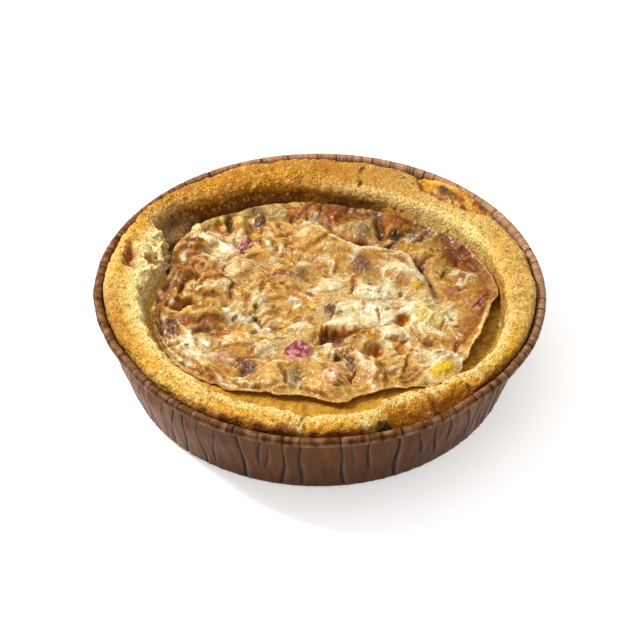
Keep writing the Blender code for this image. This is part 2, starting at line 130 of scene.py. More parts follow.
aimed_light("key_box", KEY_POSITION, KEY_SIZE, KEY_POWER)
world = bpy.data.worlds.new("studio")
bpy.context.scene.world = world
world.use_nodes = True
background = world.node_tree.nodes["Background"]
background.inputs["Color"].default_value = STUDIO_WHITE
direction = world.node_tree.nodes.new("ShaderNodeTexCoord")
upward = world.node_tree.nodes.new("ShaderNodeSeparateXYZ")
ceiling = world.node_tree.nodes.new("ShaderNodeMapRange")
ceiling.interpolation_type = "SMOOTHSTEP"
ceiling.inputs["From Min"].default_value = CEILING_EDGE
ceiling.inputs["To Min"].default_value = SURROUND_STRENGTH
ceiling.inputs["To Max"].default_value = CEILING_STRENGTH
world.node_tree.links.new(direction.outputs["Generated"], upward.inputs["Vector"])
world.node_tree.links.new(upward.outputs["Z"], ceiling.inputs["Value"])
world.node_tree.links.new(ceiling.outputs["Result"], background.inputs["Strength"])
print("one soft box, a bright ceiling and a white surround")

# %% [markdown]
# ## Helpers: noise and shapes worked out in numpy
# Baked food is uneven at every scale. Smooth noise gives its lumps, and cells give its grains. Both are
# worked out from a point's place alone, so they come out the same on every run.

# %% Smooth noise
GRADIENTS = np.random.default_rng(11).normal(size=(256, 3))
GRADIENTS /= np.linalg.norm(GRADIENTS, axis=1)[:, None]
SHUFFLE = np.random.default_rng(12).permutation(256)


def lattice_hash(corner, seed):
    """A repeatable number from 0 to 255 for each whole-numbered corner of space."""
    mixed = SHUFFLE[(corner[:, 0] + seed * 57) & 255]
    mixed = SHUFFLE[(mixed + corner[:, 1]) & 255]
    return SHUFFLE[(mixed + corner[:, 2]) & 255]


def eased(share):
    share = np.clip(share, 0.0, 1.0)
    return share * share * (3 - 2 * share)


def noise(points, size, seed=0):
    """Smooth noise from about -1 to 1 whose bumps are about size across, in the points' units."""
    scaled = points / size
    base = np.floor(scaled).astype(np.int64)
    inside = scaled - base
    blend = eased(inside)
    total = np.zeros(len(points))
    for corner in np.ndindex(2, 2, 2):
        step = np.array(corner)
        gradient = GRADIENTS[lattice_hash(base + step, seed)]
        weight = np.prod(np.where(step == 1, blend, 1 - blend), axis=1)
        total += weight * np.sum(gradient * (inside - step), axis=1)
    return total * 1.6


# %% Cells like grains
def cells(points, size, seed=0):
    """For grains scattered about size apart: how far each point is from the nearest, in sizes, and that
    grain's own random number from 0 to 1."""
    scaled = points / size
    base = np.floor(scaled).astype(np.int64)
    nearest = np.full(len(points), 9.0)
    owner = np.zeros(len(points))
    for corner in np.ndindex(3, 3, 3):
        cell = base + np.array(corner) - 1
        number = lattice_hash(cell, seed)
        centre = cell + 0.5 + 0.42 * GRADIENTS[number]
        distance = np.linalg.norm(scaled - centre, axis=1)
        closer = distance < nearest
        nearest = np.where(closer, distance, nearest)
        owner = np.where(closer, number / 255.0, owner)
    return nearest, owner


print("noise ready:", round(float(noise(np.array([[0.3, 0.4, 0.5]]), 1.0)[0]), 3))

# %% [markdown]
# Spots and strokes have soft edges. The same spot can push a surface up or down, or stain it, so a bump
# and its colour always lie in the same place. Stations set a measure at a few angles round the pie.


# %% Spots and strokes
def flat(x, y, height=0.0):
    """Points for the noise from flat coordinates."""
    return np.stack([x, y, np.full_like(x, height)], axis=1)


def spot(x, y, place):
    """1 in the middle of an oval (x, y, half length, half width, turn), easing to 0 beyond its edge."""
    middle_x, middle_y, half_length, half_width, turn = place
    turn = math.radians(turn)
    dx, dy = x - middle_x, y - middle_y
    along = (dx * math.cos(turn) + dy * math.sin(turn)) / half_length
    side = (-dx * math.sin(turn) + dy * math.cos(turn)) / half_width
    return eased(1.25 * (1 - np.hypot(along, side) / 1.5))


def to_line(x, y, line):
    """How far each point is from a line of points, on which side, and how far along it lies, 0 to 1."""
    nearest = np.full_like(x, 1e9)
    side = np.zeros_like(x)
    along = np.zeros_like(x)
    lengths = [math.dist(a, b) for a, b in zip(line, line[1:])]
    done = 0.0
    for (ax, ay), (bx, by), length in zip(line, line[1:], lengths):
        ex, ey = bx - ax, by - ay
        share = np.clip(((x - ax) * ex + (y - ay) * ey) / (length * length), 0, 1)
        distance = np.hypot(x - ax - ex * share, y - ay - ey * share)
        closer = distance < nearest
        nearest = np.where(closer, distance, nearest)
        side = np.where(closer, np.sign(ex * (y - ay) - ey * (x - ax)), side)
        along = np.where(closer, (done + share * length) / sum(lengths), along)
        done += length
    return nearest, side, along


def stroke(x, y, line, half_width):
    """1 along a line, easing to 0 at its half width, and tapering at both ends."""
    distance, _, along = to_line(x, y, line)
    taper = np.clip(np.minimum(along, 1 - along) * 5 + 0.25, 0, 1)
    return eased(1.2 * (1 - distance / (half_width * np.sqrt(taper) * 1.2)))


# %% Stations and stains
def around(stations, degrees, column):
    """The stations' value at each angle, eased from one station to the next, all the way round."""
    angles = np.array([station[0] for station in stations], float)
    values = np.array([station[column] for station in stations], float)
    angles = np.concatenate([[angles[-1] - 360], angles, [angles[0] + 360]])
    values = np.concatenate([[values[-1]], values, [values[0]]])
    degrees = np.mod(degrees, 360)
    after = np.clip(np.searchsorted(angles, degrees), 1, len(angles) - 1)
    share = (degrees - angles[after - 1]) / (angles[after] - angles[after - 1])
    return values[after - 1] + (values[after] - values[after - 1]) * eased(share)


def facing(degrees, at, sharpness, offset):
    """1 on the side of the pie that faces an angle, easing to 0 on the other side."""
    return eased(sharpness * np.cos(np.radians(degrees - at)) + offset)


def linear(colour):
    """A colour as the screen shows it, 0 to 255, as the amounts of light that a shader works with."""
    share = np.asarray(colour, float) / 255
    return np.where(share <= 0.04045, share / 12.92, ((share + 0.055) / 1.055) ** 2.4)


def stained(colours, stain, amount):
    """The colours with a stain laid over them by an amount from 0 to 1 for each point."""
    amount = np.clip(amount, 0, 1)[:, None]
    return colours * (1 - amount) + linear(stain) * amount


def layered(colours, *layers):
    """The colours with several stains laid over them in turn; each layer is a stain and its amount."""
    for stain, amount in layers:
        colours = stained(colours, stain, amount)
    return colours


print("spots, strokes and stations ready")

# %% [markdown]
# ## Helpers: meshes
# A mesh of a hundred thousand faces is filled in one go from arrays. Each point also carries its own
# colour, in an attribute called stain, which the shaders read. A ring of sections and a disc of rings are
# enough for every piece of a round pie.


# %% Meshes from arrays
def mesh_object(name, points, faces, colours, material):
    """An object from points in mm and lists of faces with three or four corners each."""
    mesh = bpy.data.meshes.new(name)
    mesh.vertices.add(len(points))
    mesh.vertices.foreach_set("co", (np.asarray(points) * MM).ravel())
    groups = [np.asarray(group, np.int32) for group in faces if len(group)]
    sizes = np.concatenate([np.full(len(group), group.shape[1], np.int32) for group in groups])
    corners = np.concatenate([group.ravel() for group in groups])
    mesh.loops.add(len(corners))
    mesh.loops.foreach_set("vertex_index", corners)
    mesh.polygons.add(len(sizes))
    mesh.polygons.foreach_set("loop_start", np.concatenate([[0], np.cumsum(sizes)[:-1]]).astype(np.int32))
    mesh.update(calc_edges=True)
    stain = mesh.color_attributes.new("stain", "FLOAT_COLOR", "POINT")
    rgba = np.concatenate([np.clip(colours, 0, 1), np.ones((len(colours), 1))], axis=1)
    stain.data.foreach_set("color", rgba.ravel())
    mesh.validate()
    mesh.shade_smooth()
    mesh.materials.append(material)
    obj = bpy.data.objects.new(name, mesh)
    bpy.context.scene.collection.objects.link(obj)
    print(f"{name}: {len(points)} points, {len(sizes)} faces")
    return obj


# %% Rings swept round the pie
def swept(rows, degrees):
    """Points of a section swept round the pie. Each row of it is a radius and a height in mm, and either can
    be one number or one for each angle."""
    radius, height = (np.array([np.zeros(len(degrees)) + row[part] for row in rows]) for part in (0, 1))
    turn = np.radians(degrees)
    return np.stack([radius * np.cos(turn), radius * np.sin(turn), height], axis=-1)


def ring_faces(ring_count, ring_size):
    """Quads between closed rings that follow one another, facing out when the rings climb anticlockwise."""
    k = np.arange(ring_size)
    following = np.roll(k, -1)
    low = np.arange(ring_count - 1)[:, None] * ring_size
    high = low + ring_size
    quads = np.stack([low + k, low + following, high + following, high + k], axis=-1)
    return quads.reshape(-1, 4)


def closed_faces(ring_count, ring_size):
    """The same quads, with one face to close the first ring and one to close the last."""
    ring = np.arange(ring_size)
    last_ring = (ring_count - 1) * ring_size + ring
    return [ring_faces(ring_count, ring_size), ring[::-1][None, :], last_ring[None, :]]


# %% Discs of rings
def disc_layout(ring_count):
    """For a disc of rings, the nth with 6n points: each point's ring and angle, and the triangles."""
    rings, angles, starts = [np.zeros(1)], [np.zeros(1)], [0]
    for n in range(1, ring_count + 1):
        starts.append(1 + 3 * n * (n - 1))
        rings.append(np.full(6 * n, float(n)))
        angles.append(2 * math.pi * np.arange(6 * n) / (6 * n))
    triangles = []
    for n in range(1, ring_count + 1):
        sector, j = np.divmod(np.arange(6 * n), n)
        outer_a = starts[n] + sector * n + j
        outer_b = starts[n] + (sector * n + j + 1) % (6 * n)
        inner_size = max(6 * (n - 1), 1)
        inner_a = starts[n - 1] + (sector * (n - 1) + j) % inner_size
        triangles.append(np.stack([outer_a, outer_b, inner_a], axis=1))
        if n > 1:
            inner_b = starts[n - 1] + (sector * (n - 1) + j + 1) % inner_size
            between = j < n - 1
            triangles.append(np.stack([inner_a, outer_b, inner_b], axis=1)[between])
    return np.concatenate(rings), np.concatenate(angles), np.concatenate(triangles)


print("mesh helpers ready")

# %% [markdown]
# ## Helpers: finishes
# A food finish starts from the stain that each point carries, then adds what is finer than the mesh:
# grain, blots and a bump. Sizes are real ones, because the coordinates are the object's own metres.


# %% Nodes for finishes
def node(tree, kind, settings=None, **inputs):
    """A shader node with its settings and inputs; an input can be a value or another node's output."""
    made = tree.nodes.new(kind)
    for key, value in (settings or {}).items():
        setattr(made, key, value)
    for key, value in inputs.items():
        socket = made.inputs[int(key[1:])] if key[0] == "i" and key[1:].isdigit() else made.inputs[key]
        if isinstance(value, bpy.types.NodeSocket):
            tree.links.new(value, socket)
        else:
            socket.default_value = value
    return made


def object_points(tree, stretch=(1, 1, 1)):
    """The object's own coordinates, stretched where a grain runs one way."""
    coordinates = node(tree, "ShaderNodeTexCoord")
    mapping = node(tree, "ShaderNodeMapping", Vector=coordinates.outputs["Object"])
    mapping.inputs["Scale"].default_value = stretch
    return mapping.outputs["Vector"]


def grain(tree, points, size, detail=2.0, roughness=0.5):
    """Noise whose bumps are about size metres across."""
    made = node(tree, "ShaderNodeTexNoise", Vector=points, Scale=1 / size, Detail=detail, Roughness=roughness)
    return made.outputs["Fac"]


# %% Ramps, mixes and the points' stain
def ramp(tree, value, low, high):
    """0 below low, 1 above high, and a straight slope between."""
    made = node(tree, "ShaderNodeMapRange", Value=value)
    made.inputs["From Min"].default_value = low
    made.inputs["From Max"].default_value = high
    return made.outputs["Result"]


def mixed(tree, share, first, second, how="MIX"):
    """Two colours mixed; each is a colour or a node's output."""
    made = tree.nodes.new("ShaderNodeMix")
    made.data_type = "RGBA"
    made.blend_type = how
    for index, value in ((0, share), (6, first), (7, second)):
        if isinstance(value, bpy.types.NodeSocket):
            tree.links.new(value, made.inputs[index])
        elif index == 0:
            made.inputs[index].default_value = value
        else:
            made.inputs[index].default_value = (*value, 1.0)
    return made.outputs[2]


def tint(tree, shader, *tints):
    """Gives the shader the points' stain, multiplied by each tint in turn."""
    colour = node(tree, "ShaderNodeAttribute", {"attribute_name": "stain"}).outputs["Color"]
    for each in tints:
        colour = mixed(tree, 1.0, colour, each, "MULTIPLY")
    tree.links.new(colour, shader.inputs["Base Color"])


# %% Bumps, soft light and glaze
def emboss(tree, shader, height, strength, distance):
    """Makes the surface look raised where height is large, by up to distance metres."""
    bump = node(tree, "ShaderNodeBump", Height=height, Strength=strength, Distance=distance)
    tree.links.new(bump.outputs["Normal"], shader.inputs["Normal"])


def soften(shader, weight, reach):
    """Lets some light in; reach is how far red, green and blue spread, in metres."""
    shader.inputs["Subsurface Weight"].default_value = weight
    shader.inputs["Subsurface Radius"].default_value = reach
    shader.inputs["Subsurface Scale"].default_value = 1.0


def glaze(shader, weight):
    """Lays a thin glossy coat over the finish, such as melted fat leaves."""
    shader.inputs["Coat Weight"].default_value = weight
    shader.inputs["Coat Roughness"].default_value = 0.2


print("finish helpers ready")

# %% [markdown]
# ## The paper case
# The real case is thin brown paper pressed over a mould. Its wall has to shrink towards the foot, so the
# paper gathers in pleats, and its edge is rolled into a bead that the pleats notch. It could be modelled
# as cloth, but a turned profile with a groove at each pleat gives the same with less work. The front
# pleats are placed as they lie on the pie, the rest are drawn at random from a fixed seed. The rim isn't
# quite round: hands have pushed it in at the front left.

# %% Sizes of the paper case
CASE_RADIUS, CASE_HEIGHT, BEAD_RADIUS = 90.0, 36.5, 1.8
CASE_FOOT_RADIUS, CASE_FOOT_ROUNDING = 76.5, 1.4
CASE_WALL_TOP_RADIUS, CASE_THICKNESS = 86.6, 0.8
CASE_STEPS = 1440
WALL_ROWS, BEAD_ROWS = 22, 20
WALL_TOP = CASE_HEIGHT - 2 * BEAD_RADIUS
DENT_FROM, DENT_TO = 20.0, 33.0  # heights between which the wall starts to follow the rim, in mm
SEAM_TURN = 30.0  # degrees above the bead's widest point, where its rolled edge leaves a line
RIM_NOTCHES = 90  # small ones in the bead only
BACK_PLEAT_GAPS = (3.0, 8.5)  # degrees between the pleats that the front list leaves out
print("the case is", 2 * CASE_RADIUS, "mm wide and", CASE_HEIGHT, "mm high")

# %% Pleats and dents listed one by one
# Front pleats: angle at the rim and at the foot, how deep (mm), how far down it runs (0 to 1)
FRONT_PLEATS = (
    (208.3, 206, 0.45, 0.5), (215.1, 211, 0.5, 0.9), (220.3, 213.7, 0.5, 1), (225.6, 221, 0.5, 0.9),
    (229.5, 224.3, 0.6, 1), (233, 229.5, 0.6, 1), (237.3, 236.4, 0.75, 1), (242.5, 239.7, 0.5, 0.8),
    (249, 249.6, 0.8, 1), (255.4, 253.2, 0.5, 0.5), (257.3, 255.5, 0.4, 0.6), (261.6, 259.9, 0.6, 1),
    (265.7, 265.1, 0.45, 0.9), (275.4, 277.4, 0.65, 1), (278.6, 280, 0.3, 0.4),
    (282.6, 284.5, 0.5, 0.55), (290.7, 292.1, 0.75, 0.9), (296.3, 300.3, 0.5, 0.6),
    (301.3, 305, 0.6, 0.7), (305.6, 309.7, 0.45, 0.5), (312.3, 317, 0.5, 0.9), (318, 322, 0.5, 0.8),
    (321.2, 326.3, 0.5, 1), (324.4, 331.2, 0.6, 1),
)
# Degrees and how far the rim has been pushed in (less than 0) or out there, in mm
RIM_DENTS = (
    (5, 0.9), (60, 0.9), (120, 0.8), (160, 0.4), (180, -0.3), (190, -1.2), (200, -2.2), (212, -3.1),
    (222, -2.7), (234, -2.1), (246, -1.4), (262, -0.5), (300, -0.4), (314, -1.3), (326, -0.4),
    (342, 0.5),
)
print("pleats set by hand:", len(FRONT_PLEATS))

# %% [markdown]
# Only the pleats in front show in the photograph. Those at the back, and the small notches in the bead, are
# drawn at random from one seed, so they come out the same on every run.


# %% Draw the other pleats
def all_pleats():
    """The front pleats, and others drawn for the rest of the way round."""
    draw = np.random.default_rng(4)
    pleats = list(FRONT_PLEATS)
    at = FRONT_PLEATS[-1][0] + 5.0
    for notch in draw.uniform(0, 360, RIM_NOTCHES):
        pleats.append((notch, notch, draw.uniform(0.15, 0.5), -0.1))
    while at < FRONT_PLEATS[0][0] + 360 - 4:
        lean = draw.uniform(-3, 3)
        pleats.append((at % 360, (at + lean) % 360, draw.uniform(0.35, 0.75), draw.uniform(0.5, 1.0)))
        at += draw.uniform(*BACK_PLEAT_GAPS)
    return pleats


print("pleats and notches in all:", len(all_pleats()))


# %% Draw the case's profile
def case_wall_radius(height):
    return CASE_FOOT_RADIUS + (CASE_WALL_TOP_RADIUS - CASE_FOOT_RADIUS) * height / WALL_TOP


def dent(degrees, height):
    """How far the case lies from a true cone there, in mm."""
    return around(RIM_DENTS, degrees, 1) * eased((height - DENT_FROM) / (DENT_TO - DENT_FROM))


def case_profile():
    """Radius and height from the middle of the underside, up the wall, over the bead and down inside."""
    outside = [(0.4, 0.0), (40.0, 0.0), (CASE_FOOT_RADIUS - CASE_FOOT_ROUNDING, 0.0)]
    for angle in np.radians([-60, -30]):
        reach = CASE_FOOT_RADIUS - CASE_FOOT_ROUNDING + CASE_FOOT_ROUNDING * math.cos(angle)
        outside.append((reach, CASE_FOOT_ROUNDING * (1 + math.sin(angle))))
    for row in range(WALL_ROWS + 1):
        height = CASE_FOOT_ROUNDING + (WALL_TOP - CASE_FOOT_ROUNDING) * row / WALL_ROWS
        outside.append((case_wall_radius(height), height))
    middle_radius, middle_height = CASE_RADIUS - BEAD_RADIUS, CASE_HEIGHT - BEAD_RADIUS
    for angle in np.radians(np.linspace(-96, 168, BEAD_ROWS)):
        turned = (BEAD_RADIUS * math.cos(angle), BEAD_RADIUS * math.sin(angle))
        outside.append((middle_radius + turned[0], middle_height + turned[1]))
    inside = []
    for row in range(8):
        height = WALL_TOP + (CASE_THICKNESS + 0.6 - WALL_TOP) * row / 7
        inside.append((case_wall_radius(height) - CASE_THICKNESS, height))
    inside += [(CASE_FOOT_RADIUS - 1.8, CASE_THICKNESS), (40.0, CASE_THICKNESS), (0.4, CASE_THICKNESS)]
    return np.array(outside + inside)


profile = case_profile()
print("the case's profile has", len(profile), "points")

# %% [markdown]
# A pleat is a narrow valley with a soft fold beside it. It leans, wavers a little, fades out on its way down
# the wall, and notches the bead where it starts.

# %% Press the pleats in
angles = 2 * math.pi * np.arange(CASE_STEPS) / CASE_STEPS
radius = np.repeat(profile[:, 0], CASE_STEPS)
height = np.repeat(profile[:, 1], CASE_STEPS)
angle = np.tile(angles, len(profile))
degrees = np.degrees(angle)
on_wall = (radius > CASE_FOOT_RADIUS - 3).astype(float)
drop_share = np.clip(1 - height / WALL_TOP, 0, 1)
on_bead = eased((height - WALL_TOP + 0.2) / 0.6)

groove = np.zeros_like(radius)
crease_mark = np.zeros_like(radius)
fold_mark = np.zeros_like(radius)
for number, (rim_angle, foot_angle, depth, reach) in enumerate(all_pleats()):
    lean = (foot_angle - rim_angle + 180) % 360 - 180
    wander = 0.35 * np.sin(height / 4.5 + number * 2.1)
    centre = rim_angle + lean * drop_share + wander * (1 - on_bead)
    away = ((degrees - centre + 180) % 360 - 180) * math.radians(1) * radius
    fade = 1 - eased((drop_share - reach) / 0.15)
    along_wall = drop_share / max(reach, 0.3)
    widening = 0.35 * np.exp(-(((along_wall - 0.75) / 0.25) ** 2)) * (1 - on_bead)
    width = 0.3 + 0.12 * np.sin(number * 1.7) + widening
    valley = np.exp(-((away / width) ** 2))
    fold = np.exp(-(((away - 1.5 * width) / (1.8 * width)) ** 2))
    strength = fade * np.where(on_bead > 0.5, 0.8, 1.0)
    groove += depth * strength * (-valley + 0.35 * fold)
    crease_mark = np.maximum(crease_mark, valley * strength * depth / 0.6)
    fold_mark = np.maximum(fold_mark, fold * strength * depth / 0.6)

print("the deepest pleat is", -groove.min().round(2), "mm deep")

# %% Ripple and dent the case
case_points = np.stack([radius * np.cos(angle), radius * np.sin(angle), height], axis=1)
streaks = noise(np.stack([degrees * 0.5, degrees * 0, height / 18], axis=1), 1.0, 3)
fine_streaks = noise(np.stack([degrees * 1.9, degrees * 0, height / 10], axis=1), 1.0, 4)
sag = noise(case_points, 22.0, 5)
bead_turn = np.degrees(np.arctan2(height - CASE_HEIGHT + BEAD_RADIUS, radius - CASE_RADIUS + BEAD_RADIUS))
seam = on_bead * np.exp(-(((bead_turn - SEAM_TURN) / 11.0) ** 2))
ripple = groove - 0.3 * seam
ripple += (0.34 * streaks + 0.12 * fine_streaks) * (1 - on_bead * 0.7) + 0.12 * sag * (1 - on_bead)
ripple += on_bead * (0.2 * noise(case_points, 2.4, 6) + 0.12 * noise(case_points, 1.1, 8))
ripple = np.minimum(ripple, np.where(on_bead > 0, 0.0, 0.35)) * on_wall * eased(height / 1.2)
new_radius = radius + ripple + dent(degrees, height) * on_wall
case_points = np.stack([new_radius * np.cos(angle), new_radius * np.sin(angle), height], axis=1)
print("the case is", new_radius.max().round(1), "mm in radius at its widest")

# %% [markdown]
# The paper is dull and soaked darker here and there. Painted shade darkens it in the creases, under the
# bead's seam, across the bead's small pleats, towards the foot and inside the case. Painted highlights
# make it pale where a fold stands up and towards the left and right sides, and the bead is pale where it
# rubs and, as painted light, on its side towards the lamp. The colours go onto the points, and the
# shader adds fibres.

# %% Colour the paper case
PAPER = (112, 68, 28)
PAPER_DARK = (60, 34, 14)
PAPER_LIT = (190, 148, 114)
PAPER_EDGE = (166, 122, 88)
WALL_LIT = (172, 130, 100)
CREASE_SHADE = (26, 14, 8)
# painted shade on the inside of the case
INSIDE_PAPER_SHADE = (60, 36, 22)
INSIDE_ROWS = 11  # the profile's last points, which lie inside the case

# painted sheen towards the left and right sides, and painted highlights where folds stand up
towards_sides = eased(1.8 * np.abs(np.cos(angle)) - 0.7)
lit_folds = 0.2 * fold_mark + (0.02 + 0.62 * towards_sides) * eased(0.45 + streaks + 0.4 * fine_streaks)
# the bead is paler where it rubs, and more so on its side towards the lamp as painted light
rubbed_and_lit = 0.5 + 0.3 * np.cos(angle - math.radians(50)) + 0.7 * noise(case_points, 3.0, 7)
# dark lines across the bead: painted shade in its small pleats
across_bead = noise(np.stack([degrees * 1.6, degrees * 0, degrees * 0], axis=1), 1.6, 9)
towards_light = eased(1.6 * np.cos(angle - math.radians(55)) - 0.1)
inner_side = (np.arange(len(case_points)) // CASE_STEPS) >= len(profile) - INSIDE_ROWS
paper_colours = layered(
    np.tile(linear(PAPER), (len(case_points), 1)),
    (PAPER_DARK, 0.35 + 0.5 * streaks + 0.25 * fine_streaks),
    # painted shade: darker towards the foot
    (PAPER_DARK, 0.5 * drop_share),
    (WALL_LIT, (1 - on_bead) * lit_folds),
    (PAPER_EDGE, on_bead * rubbed_and_lit),
    (PAPER_DARK, on_bead * 0.7 * eased((across_bead - 0.2) / 0.25)),
    (PAPER_LIT, on_bead * (0.6 + 0.8 * fine_streaks) * towards_light),
    (CREASE_SHADE, 0.5 * seam * (1 + fine_streaks)),
    (CREASE_SHADE, 1.3 * crease_mark * on_wall),
    (INSIDE_PAPER_SHADE, inner_side * 0.9),
)
print("creased points:", int((crease_mark > 0.3).sum()))

# %% Finish and place the paper case
paper, paper_shader, tree = shader_material("brown_baking_paper", 0.6, 0.07)
fibres = grain(tree, object_points(tree, (1, 1, 0.25)), 0.0006, 3)
mottle = grain(tree, object_points(tree), 0.003, 4, 0.6)
tinted = mixed(tree, ramp(tree, fibres, 0.3, 0.75), (0.74, 0.72, 0.7), (1.2, 1.2, 1.2))
blotched = mixed(tree, ramp(tree, mottle, 0.35, 0.7), (0.82, 0.8, 0.79), (1.12, 1.12, 1.12))
tint(tree, paper_shader, tinted, blotched)
emboss(tree, paper_shader, fibres, 0.35, 0.00025)
tree.links.new(ramp(tree, mottle, -0.5, 1.6), paper_shader.inputs["Roughness"])

paper_faces = closed_faces(len(profile), CASE_STEPS)
case_piece = mesh_object("paper_case", case_points, paper_faces, paper_colours, paper)
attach(case_piece, "root")
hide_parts("baking_case")

# %% [markdown]
# ## The crust
# Cornmeal dough pressed into the case by hand: a thick roll of pastry stands above the rim, gritty, split
# and dented. Its cross-section changes slowly round the pie, so the mesh sweeps a section whose width and
# height come from a few stations, then pushes every point along its normal by grains, crags, cracks and
# steps.

# %% Sizes of the crust
CRUST_FLOOR, CRUST_FOOT_RADIUS, CRUST_WAIST = 5.5, 74.0, 34.0
CRUST_STEPS = 960
FLANK_ROWS, ROLL_ROWS, INNER_ROWS = 12, 46, 22
CREST_TOP = 40.0
GAP = 0.35
LIP_FALL = 3.2  # how far the torn lip's edge lies below the crest, in mm
print("the crust stands up to", CREST_TOP, "mm high")

# %% Stations of the rim
# Degrees, then the radius of the rim's outside, of its inside at the filling, and its height, in mm, and how
# rounded its inner shoulder is: 1 is round, 0.4 is almost square
CRUST_STATIONS = (
    (0, 85.8, 74, 39.4, 0.6), (10, 85.2, 73.2, 39.2, 0.6), (20, 84.6, 71.6, 39, 0.7),
    (30, 83, 69.4, 39.2, 0.8), (38, 76.6, 67.4, 39.4, 0.9), (47, 73.8, 65.4, 39.4, 0.9),
    (54, 74.6, 64.2, 39.4, 0.8), (60, 81.4, 63.6, 39.2, 0.7), (68, 83.4, 63.4, 39, 0.6),
    (82, 83.8, 63.8, 38.8, 0.6), (90, 83.8, 65.2, 39.2, 1), (99, 83.8, 67.2, 39.5, 1),
    (107, 84, 69, 39.4, 0.9), (116, 84, 70.8, 39.3, 0.9), (127, 84.4, 71.8, 39.2, 0.9),
    (133, 84.8, 75, 39.2, 1.1), (139, 85.4, 78.4, 39.2, 1.2), (148, 85.8, 79.2, 39.4, 1.2),
    (152, 86, 75, 39.6, 0.8), (154, 86, 69.6, 39.6, 0.34), (160, 85.8, 66.4, 39.6, 0.32),
    (166, 85.4, 65.8, 39.2, 0.34), (174, 85.7, 68.4, 39.4, 0.36), (183, 85.7, 70.4, 39.4, 0.4),
    (200, 85.7, 71, 39.4, 0.4), (215, 85.7, 72, 39.6, 0.4), (240, 85.7, 73.6, 39.2, 0.4),
    (256, 85.7, 73.6, 39.4, 0.4), (262, 85.7, 74.4, 39.6, 0.4), (264, 85.7, 75.8, 39, 0.4),
    (278, 85.7, 75.6, 38.9, 0.4), (286, 85.7, 76, 38.9, 0.4), (289, 85.7, 73.2, 39.2, 0.4),
    (299, 85.7, 72.4, 39, 0.4), (302, 85.7, 74, 38.8, 0.4), (314, 85.7, 74.2, 38.8, 0.4),
    (320, 85.6, 77, 38.8, 0.5), (330, 85.9, 77.4, 39, 0.5), (342, 86, 76, 39.2, 0.6),
)
print("the rim is set at", len(CRUST_STATIONS), "angles")

# %% Steps in the rim
# Where the rim has broken into steps: degrees, how far the part beyond it is moved out and up, in mm,
# and over how many degrees the move fades away again
RIM_STEPS = (
    (266, 0.7, -1.2, 9),
    (288, -1.1, 1.1, 9),
    (300.5, -1.4, 1.2, 8),
    (313.8, 1.4, -1.1, 9),
    (353.6, 0.9, 0.3, 14),
    (151, -0.8, 0.6, 8),
)


def rim_step(degrees, column):
    """The sum of the broken steps' moves at each angle, in mm."""
    total = np.zeros_like(degrees)
    for at, *moves, fade in RIM_STEPS:
        beyond = (degrees - at + 180) % 360 - 180
        total += moves[column] * eased(beyond / 0.7) * (1 - eased(beyond / fade))
    return total


# %% Keep the crust inside the case
def case_clearance(height, degrees):
    """The largest radius at a height and angle that stays clear of the paper case."""
    at_wall = case_wall_radius(np.minimum(height, WALL_TOP)) - CASE_THICKNESS - 0.6
    at_bead = CASE_RADIUS - 2 * BEAD_RADIUS - 0.2
    share = np.clip((height - WALL_TOP) / BEAD_RADIUS, 0, 1)
    return at_wall + (at_bead - at_wall) * share - GAP + dent(degrees, height)


print("room inside the bead, in mm:", case_clearance(CASE_HEIGHT, np.zeros(1)).round(1))

# %% [markdown]
# The rim's sizes are worked out once for each angle. Noise makes its lip ragged, and three places have a
# shape of their own: the scoop at the back left, the slumped lip beside it and the tall block in front.

# %% Measure the rim all round
crust_angles = 360 * np.arange(CRUST_STEPS) / CRUST_STEPS
along_rim = np.radians(crust_angles) * 73.0
rim_line = flat(along_rim, 0 * along_rim)
ragged_lip = 0.9 * noise(rim_line, 5.0, 26) + 0.7 * noise(rim_line, 2.0, 27)
ragged_lip *= facing(crust_angles, 250, 2.2, 1.0) * eased(crust_angles / 10)
outside = around(CRUST_STATIONS, crust_angles, 1) + rim_step(crust_angles, 0)
outside += around(RIM_DENTS, crust_angles, 1)
inside = around(CRUST_STATIONS, crust_angles, 2) + ragged_lip
crest = around(CRUST_STATIONS, crust_angles, 3) + rim_step(crust_angles, 1)
shoulder = around(CRUST_STATIONS, crust_angles, 4)
outer_shoulder = 0.45 + 0.5 * facing(crust_angles, 276, 2.6, -1.3)
scooped = np.exp(-(((crust_angles - 143.0) / 8.0) ** 2))
front_block = eased(2.0 - np.abs(crust_angles - 300.0) / 9.0)
slumped_lip = eased(1.6 - np.abs(crust_angles - 167.0) / 11.0)
rim_width = outside - inside
print("the rim is", rim_width.min().round(1), "to", rim_width.max().round(1), "mm wide")

# %% Sweep the crust's section
crust_foot = CASE_THICKNESS + GAP
rows = [
    (0.4, crust_foot),
    (CRUST_FOOT_RADIUS - 2, crust_foot),
    (CRUST_FOOT_RADIUS, crust_foot + 2),
    (CRUST_FOOT_RADIUS + (outside - CRUST_FOOT_RADIUS) * 0.45, crust_foot + 14),
]
first_shown = len(rows)
for share in np.linspace(0, 1, FLANK_ROWS, endpoint=False):
    level = crust_foot + 26 + (CRUST_WAIST - crust_foot - 26) * share
    flank = CRUST_FOOT_RADIUS + (outside - CRUST_FOOT_RADIUS) * (0.85 + 0.15 * math.sin(share * math.pi / 2))
    rows.append((flank, level))
peak = inside + (outside - inside) * (0.5 + 0.1 * scooped - 0.2 * front_block)
for turn in np.linspace(0, math.pi, ROLL_ROWS):
    if turn < math.pi / 2:
        reach = peak + (outside - peak) * math.cos(turn) ** outer_shoulder
    else:
        reach = peak - (peak - inside) * abs(math.cos(turn)) ** shoulder
    steepness = 0.8 + 1.1 * front_block * (turn < math.pi / 2)
    fallen = LIP_FALL * slumped_lip * np.maximum(peak - reach, 0) / (peak - inside)
    rows.append((reach, CRUST_WAIST + (crest - fallen - CRUST_WAIST) * math.sin(turn) ** steepness))
